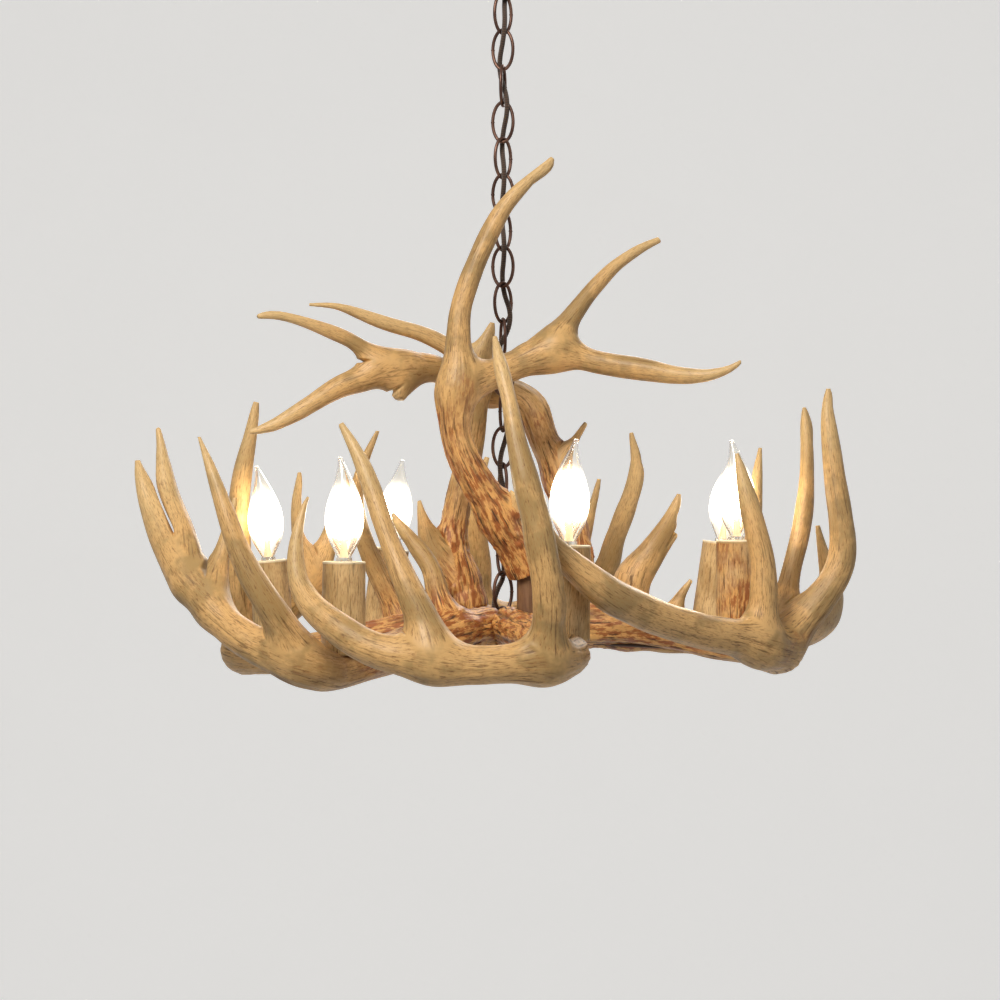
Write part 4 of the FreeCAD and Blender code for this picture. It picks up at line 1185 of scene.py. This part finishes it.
    def _carve(self, mesh: bpy.types.Mesh, limbs: list[Limb], places: np.ndarray,
               free: np.ndarray) -> None:
        """Groove the skin along its limbs, and keep what the material reads.

        Args:
            mesh: The antler's mesh.
            limbs: Its limbs.
            places: Where its points go, before the grooves.
            free: How freely each of them may move.
        """
        fields = [limb.measure(places) for limb in limbs]
        gaps = np.array([row["gap"] for row in fields])
        owner = np.argmin(gaps, axis=0)
        calm = ramp(np.sort(gaps, axis=0)[1] - gaps.min(axis=0), 0.0, self.calm_reach)
        along = np.choose(owner, [row["along"] for row in fields])
        angle = np.choose(owner, [row["angle"] for row in fields])
        lengths = np.array([limb.along[-1] for limb in limbs])
        age = self._root_ages(limbs)[owner] * (1 - np.clip(along / lengths[owner], 0, 1))
        grain = np.column_stack((np.cos(angle) * self.grain_radius + self.limb_shift * owner,
                                 np.sin(angle) * self.grain_radius,
                                 along + self.seed_shift * self.seed))
        noise = LatticeNoise(self.seed)
        furrow = noise.layered(grain * self.furrow_scale, self.furrow_layers)
        swell = noise.at(places * self.swell_scale + self.swell_shift)
        pearls = np.maximum(noise.at(grain * self.pearl_scale), 0)
        rough = self.young_furrow + (1 - self.young_furrow) * ramp(age, *self.furrow_span)
        knobs = self.pearl * ramp(along, *self.pearl_span) * (owner == 0)
        height = furrow * self.furrow * rough * calm + pearls * knobs + swell * self.swell
        place_points(mesh, places)
        place_points(mesh, places + vertex_rows(mesh, "normal") * (height * free)[:, None])
        store(mesh, "grain", grain)
        store(mesh, "age", age)
        store(mesh, "calm", calm)
        # Where the furrows dip: partly the grooves' own dark stain, partly painted shade in the
        # grooves.
        store(mesh, "groove_stain_and_shade", np.clip(-furrow, 0, 1) * ramp(age, *self.groove_shade_span) * calm)

    def build(self, material: bpy.types.Material) -> None:
        """Make the antler.

        Args:
            material: Its finish.
        """
        limbs = [Limb(stations) for stations in self.limbs]
        mesh = self._skin(limbs)
        places = vertex_rows(mesh)
        gap = np.min([limb.measure(places)["gap"] for limb in limbs], axis=0)
        self._carve(mesh, limbs, self._flare(places, limbs), self._freedom(places, gap))
        mesh.shade_smooth()
        piece = as_object(self.node + "_bone", mesh)
        settle(piece, material, self.node, Body.LIGHT.value)


@dataclass
class AntlerBody:
    """The nine antlers round the hub, with the wood, metal and wires that join them."""

    upper_seed: int = 10
    wood: tuple[str, ...] = ("hub_core", "hub_dowels", "antler_posts")
    metal: tuple[str, ...] = ("hub_eye", "hub_plate", "hub_nut", "candle_nipples")
    wires: tuple[str, ...] = ("candle_cables",)

    def build(self, finishes: Finishes) -> None:
        """Make every antler and dress the hub.

        Args:
            finishes: The light's materials.
        """
        for kind, antlers, seed in (("lower", LOWER_ANTLERS, 0),
                                    ("upper", UPPER_ANTLERS, self.upper_seed)):
            for number, limbs in enumerate(antlers, start=1):
                node = "%s_antler_%d" % (kind, number)
                Antler(node, limbs, seed + number).build(finishes.antler)
        finish_nodes(self.wood, finishes.wood)
        finish_nodes(self.metal, finishes.bronze)
        finish_nodes(self.wires, finishes.cord)


# ------------------------------------------------------------------ candles

@dataclass
class Candle:
    """One candle: a cast sleeve, its lampholder, and a flame bulb."""

    number: int
    seat: CandleSeat
    sleeve_radius: float = 0.0185
    sleeve_top_radius: float = 0.018
    sleeve_bore: float = 0.0125
    sleeve_height: float = 0.076
    sleeve_sides: int = 96
    sleeve_rings: int = 40
    rim_round: float = 0.0012
    rim_rings: int = 4
    rim_start: float = 0.3
    rim_share: float = 0.975
    bore_levels: Span = (0.05, 0.025)
    seed: int = 30
    grain_radius: float = 0.014
    grain_step: float = 0.4
    grain_scale: Triple = (420, 420, 26)
    grain_layers: int = 3
    grain_crest: float = 1.8
    grain_depth: float = 0.00028
    rim_grain: float = 0.4
    groove_shade_share: float = 0.5
    foot_span: Span = (-0.001, 0.002)
    # Sleeve 6 takes an older age, whose amber and rust are painted warm bounce light on a shaded side.
    bounce_lit_sleeves: tuple[int, ...] = (6,)
    bounce_lit_age: float = 0.72
    pale_age: float = 0.42
    age_fall: float = 0.1
    bulb_radius: float = 0.016
    bulb_height: float = 0.083
    bulb_foot: float = 0.079
    bulb_sides: int = 48
    bulb_rings: int = 34
    bulb_smoothing: int = 2
    neck_foot: float = 0.0742
    neck_top: float = 0.0765
    neck_radius: float = 0.0054
    tip_bend: float = 0.005
    bend_start: float = 0.6
    tip_radius: float = 0.0005
    glass_wall: float = 0.0008
    glow_level: float = 0.44
    glow_spread: float = 0.13
    wire: float = 0.00035
    wire_sides: int = 8
    wire_lead: Triple = (0.31, 0.87, 0.12)
    coil_steps: int = 60
    coil_turns: int = 14
    coil_radius: float = 0.0006
    coil_level: float = 0.38
    support_steps: int = 6
    stem_top: float = 0.16
    stem_sides: int = 24
    stem_gap: float = 0.0003
    heat: Span = (0.02, 0.92)
    heat_reach: float = 0.012

    def _place(self, rows: np.ndarray) -> np.ndarray:
        """Move points from the candle's frame to the light's."""
        return rows @ np.array(self.seat.turn()).T + np.array(self.seat.middle())

    def sleeve(self, material: bpy.types.Material) -> None:
        """Make the sleeve, with an upright grain and a softened rim.

        Args:
            material: Its finish.
        """
        taper = (self.sleeve_top_radius - self.sleeve_radius) / self.sleeve_height
        outer = [(self.sleeve_radius + taper * level, level)
                 for level in np.linspace(0, self.sleeve_height - self.rim_round, self.sleeve_rings)]
        rim = [(self.sleeve_top_radius - self.rim_round * (1 - math.cos(turn)),
                self.sleeve_height - self.rim_round * (1 - math.sin(turn)))
               for turn in np.linspace(self.rim_start, math.pi / 2, self.rim_rings)]
        inner = [(self.sleeve_bore, level) for level in (self.sleeve_height, *self.bore_levels, 0.0)]
        rings = rings_upright(outer + rim + inner, self.sleeve_sides)
        flat = rings.reshape(-1, 3)
        shown = [1.0] * len(outer) + [self.rim_grain] * len(rim) + [0.0] * len(inner)
        outside = np.repeat(shown, self.sleeve_sides)
        angle = np.arctan2(flat[:, 1], flat[:, 0])
        way = np.column_stack((np.cos(angle), np.sin(angle), np.zeros(len(flat))))
        grain = way * self.grain_radius
        grain[:, 2] = flat[:, 2] + self.grain_step * self.number
        noise = LatticeNoise(self.seed + self.number)
        furrow = noise.layered(grain * self.grain_scale, self.grain_layers)
        inset = (furrow - self.grain_crest) * self.grain_depth * outside
        inset *= ramp(flat[:, 2], *self.foot_span)
        flat = flat + way * inset[:, None]
        share = flat[:, 2] / self.sleeve_height
        # Sleeve 6's older age paints warm bounce light on its shaded side as amber and rust.
        age = self.bounce_lit_age if self.number in self.bounce_lit_sleeves else self.pale_age
        rim_face = share > self.rim_share
        mesh = grid_mesh("candle_sleeve", self._place(flat).reshape(rings.shape), True)
        store(mesh, "grain", grain)
        store(mesh, "age", np.where(rim_face, 0.0, age - self.age_fall * share))
        store(mesh, "calm", np.where(rim_face, 0.0, 1.0))
        # Where the grain dips: partly the grooves' own dark stain, partly painted shade in the grooves.
        store(mesh, "groove_stain_and_shade", np.clip(-furrow, 0, 1) * self.groove_shade_share * outside)
        piece = as_object("candle_sleeve_%d_cast" % self.number, mesh)
        settle(piece, material, "candle_sleeve_%d" % self.number, Body.LIGHT.value)

    def _flame(self, inset: float) -> list[Span]:
        """Draw the outline of the bulb, from its neck to its tip.

        Args:
            inset: How far inside the outer face it lies.

        Returns:
            Pairs of a radius and a height.
        """
        outline = [(0.34, 0.00), (0.50, 0.06), (0.76, 0.15), (0.94, 0.26), (1.00, 0.36), (0.95, 0.48),
                   (0.79, 0.60), (0.60, 0.70), (0.42, 0.79), (0.27, 0.87), (0.16, 0.94), (0.09, 0.99)]
        widths, heights = np.array(outline).T
        shares = np.linspace(0, heights[-1], self.bulb_rings)
        rounded = np.interp(shares, heights, widths)
        for _ in range(self.bulb_smoothing):
            rounded[1:-1] = (rounded[:-2] + 2 * rounded[1:-1] + rounded[2:]) / 4
        neck = [(self.neck_radius - inset, level) for level in (self.neck_foot, self.neck_top)]
        return neck + [(max(width * self.bulb_radius - inset, self.tip_radius),
                        self.bulb_foot + inset + share * (self.bulb_height - 2 * inset))
                       for width, share in zip(rounded, shares)]

    def _bent(self, rings: np.ndarray) -> np.ndarray:
        """Bend the tip of the bulb to its side and turn it in its holder.

        Args:
            rings: The bulb's rings, upright.

        Returns:
            The bent rings.
        """
        start = self.bulb_foot + self.bend_start * self.bulb_height
        beyond = np.clip((rings[..., 2] - start) / ((1 - self.bend_start) * self.bulb_height), 0, None)
        bent = rings.copy()
        bent[..., 0] += self.tip_bend * beyond ** 2
        turn = np.array(Matrix.Rotation(math.radians(self.seat.tip_turn), 3, "Z"))
        return bent @ turn.T

    def glass(self, material: bpy.types.Material, body: str) -> None:
        """Make the bulb's glass: an outer and an inner skin.

        They are joined round the open neck, and round a pinhole at the tip.

        Args:
            material: Its finish.
            body: The body that it rides on.
        """
        outer = rings_upright(self._flame(0), self.bulb_sides)
        inner = rings_upright(self._flame(self.glass_wall), self.bulb_sides)[::-1]
        rings = np.concatenate((self._bent(outer), self._bent(inner)))
        level = (rings[..., 2].ravel() - self.bulb_foot) / self.bulb_height
        mesh = grid_mesh("bulb_glass", self._place(rings.reshape(-1, 3)).reshape(rings.shape), True)
        store(mesh, "lit", np.exp(-((level - self.glow_level) / self.glow_spread) ** 2))
        piece = as_object("bulb_glass_%d_flame" % self.number, mesh)
        settle(piece, material, "bulb_glass_%d" % self.number, body)

    def _lit_line(self, foot: float, top: float) -> np.ndarray:
        """Draw the wire's line: up one support, over in a coiled arch, and down the other.

        Args:
            foot: Height of the supports' feet.
            top: Height of their tops.

        Returns:
            Points as rows.
        """
        half = self.neck_radius / 2
        turns = np.linspace(0, math.pi, self.coil_steps)
        spin = np.linspace(0, 2 * math.pi * self.coil_turns, self.coil_steps)
        arch = np.column_stack((-half * np.cos(turns), self.coil_radius * np.cos(spin),
                                top + half * np.sin(turns) + self.coil_radius * np.sin(spin)))
        left = np.array([(-half, 0, height) for height in np.linspace(foot, top, self.support_steps)])
        right = left[::-1] * (-1, 1, 1)
        return np.vstack((left[:-1], arch, right[1:]))

    def filament(self, material: bpy.types.Material, body: str) -> None:
        """Make the glass stem, the two supports and the coiled lit wire.

        Args:
            material: Their finish.
            body: The body that they ride on.
        """
        foot = self.bulb_foot + self.stem_top * self.bulb_height
        top = self.bulb_foot + self.coil_level * self.bulb_height
        line = self._lit_line(foot, top)
        tube = rings_along(line, *steady_frame(line, self.wire_lead), self.wire, self.wire_sides)
        radius = self.neck_radius - self.glass_wall - self.stem_gap
        stem = [(radius, self.neck_foot), (radius, self.neck_top),
                (0.72 * radius, self.bulb_foot + 0.004), (0.55 * radius, foot),
                (0.35 * radius, foot + 0.0035), (0.12 * radius, foot + 0.0042)]
        joined = bmesh.new()
        joined.from_mesh(grid_mesh("lit_wire", tube, False))
        joined.from_mesh(grid_mesh("stem", rings_upright(stem, self.stem_sides), False))
        mesh = bpy.data.meshes.new("bulb_filament")
        joined.to_mesh(mesh)
        joined.free()
        places = vertex_rows(mesh)
        place_points(mesh, self._place(places))
        cold, hot = self.heat
        store(mesh, "lit", cold + (hot - cold) * ramp(places[:, 2], top - self.heat_reach, top))
        mesh.shade_smooth()
        piece = as_object("bulb_filament_%d_coil" % self.number, mesh)
        settle(piece, material, "bulb_filament_%d" % self.number, body)

    def build(self, finishes: Finishes) -> None:
        """Make the candle.

        Args:
            finishes: The light's materials.
        """
        body = "bulb_%d" % self.number
        self.sleeve(finishes.sleeve)
        self.glass(finishes.glass, body)
        self.filament(finishes.wire, body)
        finish_nodes(["lampholder_%d" % self.number], finishes.holder)
        finish_nodes(["bulb_cap_%d" % self.number], finishes.bright)


# ------------------------------------------------------------------ chain and cord

@dataclass
class Chain:
    """The link chain: oval welded links, each a quarter turn from the last, more or less."""

    length: float = 0.038
    width: float = 0.022
    wire: float = 0.003
    gap: float = 0.0002
    weld: float = 0.0021
    weld_shape: Triple = (0.88, 0.60, 0.88)
    weld_rounds: int = 3
    oval_steps: int = 72
    wire_sides: int = 14

    def _tree(self, material: bpy.types.Material) -> bpy.types.NodeTree:
        """Build the tree that stands one welded link on each point, turned by its attribute.

        Args:
            material: The links' finish.

        Returns:
            The tree, whose inputs are the sizes of a link.
        """
        group = bpy.data.node_groups.new("welded_links", "GeometryNodeTree")
        face = group.interface
        face.new_socket("Geometry", in_out="INPUT", socket_type="NodeSocketGeometry")
        for name in ("Link Length", "Link Width", "Wire", "Weld"):
            face.new_socket(name, in_out="INPUT", socket_type="NodeSocketFloat")
        face.new_socket("Geometry", in_out="OUTPUT", socket_type="NodeSocketGeometry")
        tree = TreeMaker(group)
        entry = tree.node("NodeGroupInput")
        wire = entry.outputs["Wire"]
        across = tree.math("SUBTRACT", entry.outputs["Link Width"], wire)
        tall = tree.math("SUBTRACT", entry.outputs["Link Length"], wire)
        reach = tree.math("MULTIPLY", across, 0.5)
        stretch = tree.node("ShaderNodeCombineXYZ", {"X": 1.0, "Z": 1.0,
                                                     "Y": tree.math("DIVIDE", tall, across)})
        ring = tree.node("GeometryNodeCurvePrimitiveCircle",
                         {"Resolution": self.oval_steps, "Radius": reach})
        oval = tree.node("GeometryNodeTransform",
                         {"Geometry": ring.outputs[0], "Scale": stretch.outputs[0]})
        section = tree.node("GeometryNodeCurvePrimitiveCircle",
                            {"Resolution": self.wire_sides, "Radius": tree.math("MULTIPLY", wire, 0.5)})
        rod = tree.node("GeometryNodeCurveToMesh",
                        {"Curve": oval.outputs[0], "Profile Curve": section.outputs[0]})
        bead = tree.node("GeometryNodeMeshIcoSphere",
                         {"Radius": entry.outputs["Weld"], "Subdivisions": self.weld_rounds})
        side = tree.node("ShaderNodeCombineXYZ", {"X": reach})
        seam = tree.node("GeometryNodeTransform",
                         {"Geometry": bead.outputs[0], "Translation": side.outputs[0],
                          "Scale": self.weld_shape})
        join = tree.node("GeometryNodeJoinGeometry")
        for part in (rod, seam):
            tree.links.new(part.outputs[0], join.inputs[0])
        upright = tree.node("GeometryNodeTransform",
                            {"Geometry": join.outputs[0], "Rotation": (math.pi / 2, 0, 0)})
        turn = tree.node("GeometryNodeInputNamedAttribute", {"Name": "turn"}, data_type="FLOAT")
        about = tree.node("ShaderNodeCombineXYZ", {"Z": turn.outputs[0]})
        stand = tree.node("GeometryNodeInstanceOnPoints",
                          {"Points": entry.outputs["Geometry"], "Instance": upright.outputs[0],
                           "Rotation": about.outputs[0]})
        real = tree.node("GeometryNodeRealizeInstances", {"Geometry": stand.outputs[0]})
        smooth = tree.node("GeometryNodeSetShadeSmooth", {"Geometry": real.outputs[0]})
        dress = tree.node("GeometryNodeSetMaterial",
                          {"Geometry": smooth.outputs[0], "Material": material})
        tree.node("NodeGroupOutput", {0: dress.outputs[0]})
        return group

    def _links(self, name: str, first: int, last: int, tree: bpy.types.NodeTree) -> bpy.types.Object:
        """Stand a run of links on points down the chain's axis.

        Args:
            name: Name of the piece.
            first: Number of its first link, from 0 at the top.
            last: Number after its last link.
            tree: The tree that makes the links.

        Returns:
            The piece as a plain mesh.
        """
        middle = (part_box("top_link")[0].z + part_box("top_link")[1].z) / 2
        pitch = self.length - 2 * self.wire - self.gap
        mesh = bpy.data.meshes.new(name + "_points")
        mesh.from_pydata([(0, 0, middle - pitch * index) for index in range(first, last)], [], [])
        store(mesh, "turn", np.radians(np.array(LINK_TURNS[first:last], float)))
        helper = as_object(name + "_helper", mesh)
        modifier = helper.modifiers.new("links", "NODES")
        modifier.node_group = tree
        sizes = {"Link Length": self.length, "Link Width": self.width, "Wire": self.wire,
                 "Weld": self.weld}
        for item in tree.interface.items_tree:
            if item.in_out == "INPUT" and item.name in sizes:
                modifier[item.identifier] = sizes[item.name]
        return as_object(name, settled_mesh(helper))

    def build(self, finishes: Finishes) -> None:
        """Make the top link and the chain below it.

        Args:
            finishes: The light's materials.
        """
        tree = self._tree(finishes.bronze)
        for node, first, last, body in (("top_link", 0, 1, Body.TOP_LINK),
                                        ("chain_links", 1, len(LINK_TURNS), Body.LIGHT)):
            piece = self._links(node + "_welded", first, last, tree)
            settle(piece, None, node, body.value)


@dataclass
class LampCord:
    """The braided cord that weaves down the chain to the hub."""

    diameter: float = 0.0044
    sides: int = 16
    lead: Triple = (1.0, 0.0, 0.0)
    route_steps: int = 10
    split_level: float = -0.0666
    bend_reach: float = 0.012

    def _route(self) -> np.ndarray:
        """Run the cord's own spline through its points.

        Returns:
            Fine points as rows.
        """
        curve = bpy.data.curves.new("cord_route", "CURVE")
        curve.dimensions = "3D"
        curve.resolution_u = self.route_steps
        spline = curve.splines.new("NURBS")
        spline.points.add(len(CORD_POINTS) - 1)
        for point, place in zip(spline.points, CORD_POINTS):
            point.co = (*place, 1.0)
        spline.order_u = 3
        spline.use_endpoint_u = True
        return vertex_rows(settled_mesh(as_object("cord_route", curve)))

    def _tube(self, name: str, line: np.ndarray) -> bpy.types.Object:
        """Make a round tube, with its turn and length kept for the braid.

        Args:
            name: Name of the piece.
            line: The middle of the tube.

        Returns:
            The piece.
        """
        rings = rings_along(line, *steady_frame(line, self.lead), self.diameter / 2, self.sides)
        mesh = grid_mesh(name, rings, False)
        angles = np.linspace(0, 2 * math.pi, self.sides, endpoint=False)
        store(mesh, "grain", np.column_stack((np.tile(angles, len(line)),
                                              np.repeat(distances(line), self.sides),
                                              np.zeros(len(line) * self.sides))))
        return as_object(name, mesh)

    def build(self, material: bpy.types.Material) -> None:
        """Make the cord in two lengths that meet in the middle of the top link.

        Args:
            material: Its finish.
        """
        route = self._route()
        cut = int(np.argmax(route[:, 2] < self.split_level))
        share = (self.split_level - route[cut - 1, 2]) / (route[cut, 2] - route[cut - 1, 2])
        meeting = route[cut - 1] + share * (route[cut] - route[cut - 1])
        link_foot, link_head = (corner.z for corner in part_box("top_link"))
        spans = (
            ("lamp_cord_top", np.vstack((route[:cut], meeting)), Body.CEILING, Body.TOP_LINK,
             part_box("canopy_stem")[0].z, link_head - self.bend_reach),
            ("lamp_cord", np.vstack((meeting, route[cut:])), Body.TOP_LINK, Body.LIGHT,
             link_foot + self.bend_reach, link_foot - self.bend_reach),
        )
        for node, line, upper, lower, start, end in spans:
            piece = self._tube(node + "_braided", line)
            piece.data.materials.append(material)
            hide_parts(node)
            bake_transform(piece)


@dataclass
class CeilingMount:
    """The strap, stem, locknut, canopy and loop at the ceiling."""

    metal: tuple[str, ...] = ("ceiling_strap", "canopy_stem", "strap_locknut", "canopy",
                              "canopy_loop")

    def build(self, finishes: Finishes) -> None:
        """Dress the ceiling hardware, which keeps its own shapes."""
        finish_nodes(self.metal, finishes.bronze)


# ------------------------------------------------------------------ studio

@dataclass(frozen=True)
class Lamp:
    """One round soft lamp that faces the middle of the light."""

    name: str
    place: Triple
    size: float
    watts: float
    colour: Colour
    aim: Triple = (0, 0, HUB_LEVEL + 0.1)

    def hang(self) -> None:
        """Hang the lamp."""
        data = bpy.data.lights.new(self.name, "AREA")
        data.shape = "DISK"
        data.size = self.size
        data.energy = self.watts
        data.color = self.colour
        lamp = as_object(self.name, data)
        lamp.location = self.place
        way = Vector(self.aim) - Vector(self.place)
        lamp.rotation_euler = way.to_track_quat("-Z", "Y").to_euler()
        lamp.visible_camera = False


@dataclass
class Studio:
    """The camera, the lamps and the pale sweep behind the light."""

    camera_distance: float = 2.3
    camera_side: float = -0.0026
    camera_rise: float = 0.110
    lens: float = 94.1
    sensor: float = 36.0
    floor_drop: float = 1.6
    sweep_radius: float = 1.8
    sweep_steps: int = 24
    backdrop_distance: float = 5.0
    half_width: float = 9.0
    floor_reach: float = 6.0
    paper: Colour = (0.97, 0.96, 0.94)
    paper_dark: Colour = (0.70, 0.69, 0.67)
    paper_light: Colour = (0.76, 0.75, 0.73)
    paper_scale: float = 2.5
    paper_roughness: float = 0.9
    paper_shine: float = 0.52
    room: Colour = (0.92, 0.94, 1.0)
    room_light: float = 0.14
    room_shine: float = 0.68
    lamps: tuple[Lamp, ...] = (
        Lamp("key", (-0.8, -2.0, 1.1), 0.9, 72.0, (1.0, 0.97, 0.92)),
        Lamp("fill", (2.2, -1.6, -0.1), 1.8, 6.0, (0.95, 0.97, 1.0)),
        Lamp("rim", (0.6, 1.9, 0.6), 1.4, 26.0, (1.0, 0.98, 0.95)),
    )

    def camera(self) -> None:
        """Stand the camera level, at the height of the candles' flames."""
        data = bpy.data.cameras.new("view")
        data.lens = self.lens
        data.sensor_width = self.sensor
        camera = as_object("view", data)
        camera.location = (self.camera_side, -self.camera_distance, HUB_LEVEL + self.camera_rise)
        camera.rotation_euler = (math.pi / 2, 0, 0)
        bpy.context.scene.camera = camera

    def sweep(self) -> None:
        """Make the floor and the backdrop as one curved sheet."""
        floor = HUB_LEVEL - self.floor_drop
        start = self.backdrop_distance - self.sweep_radius
        line = [(-self.floor_reach, floor), (start, floor)]
        for turn in np.linspace(0, math.pi / 2, self.sweep_steps)[1:]:
            line.append((start + self.sweep_radius * math.sin(turn),
                         floor + self.sweep_radius * (1 - math.cos(turn))))
        line.append((self.backdrop_distance, floor + self.floor_reach))
        points = [(side * self.half_width, y, z) for y, z in line for side in (-1, 1)]
        faces = [(2 * row, 2 * row + 1, 2 * row + 3, 2 * row + 2) for row in range(len(line) - 1)]
        mesh = bpy.data.meshes.new("studio_sweep")
        mesh.from_pydata(points, [], faces)
        mesh.shade_smooth()
        tree = ShaderTree("pale_paper")
        mottle = tree.noise(tree.place(), self.paper_scale, 3.0)
        tree.plug(Base_Color=tree.blend(mottle, self.paper_dark, self.paper_light),
                  Roughness=self.paper_roughness, Emission_Color=(*self.paper, 1),
                  Emission_Strength=tree.math("MULTIPLY", tree.seen_directly(), self.paper_shine))
        mesh.materials.append(tree.material)
        as_object("studio_sweep", mesh)

    def world(self) -> None:
        """Make a dim room that looks about as pale as the paper where it is seen."""
        world = bpy.data.worlds.new("studio")
        world.use_nodes = True
        tree = TreeMaker(world.node_tree)
        lights = tree.nodes["Background"]
        tree.fill(lights.inputs["Color"], (*self.room, 1))
        tree.fill(lights.inputs["Strength"], self.room_light)
        shows = tree.node("ShaderNodeBackground", {"Color": (*self.paper, 1),
                                                   "Strength": self.room_shine})
        either = tree.node("ShaderNodeMixShader", {0: tree.seen_directly(), 1: lights.outputs[0],
                                                   2: shows.outputs[0]})
        tree.fill(tree.nodes["World Output"].inputs["Surface"], either.outputs[0])
        bpy.context.scene.world = world
        bpy.context.scene.view_settings.view_transform = "Standard"

    def build(self) -> None:
        """Set up the whole studio."""
        self.camera()
        self.sweep()
        for lamp in self.lamps:
            lamp.hang()
        self.world()


def main() -> None:
    """Build the light piece by piece."""
    logging.basicConfig(level=logging.INFO, format="%(message)s")
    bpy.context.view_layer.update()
    Studio().build()
    finishes = Finishes()
    LampCord().build(finishes.cord)
    Chain().build(finishes)
    CeilingMount().build(finishes)
    AntlerBody().build(finishes)
    for number, seat in enumerate(CANDLES, start=1):
        Candle(number, seat).build(finishes)


if __name__ == "__main__":
    main()
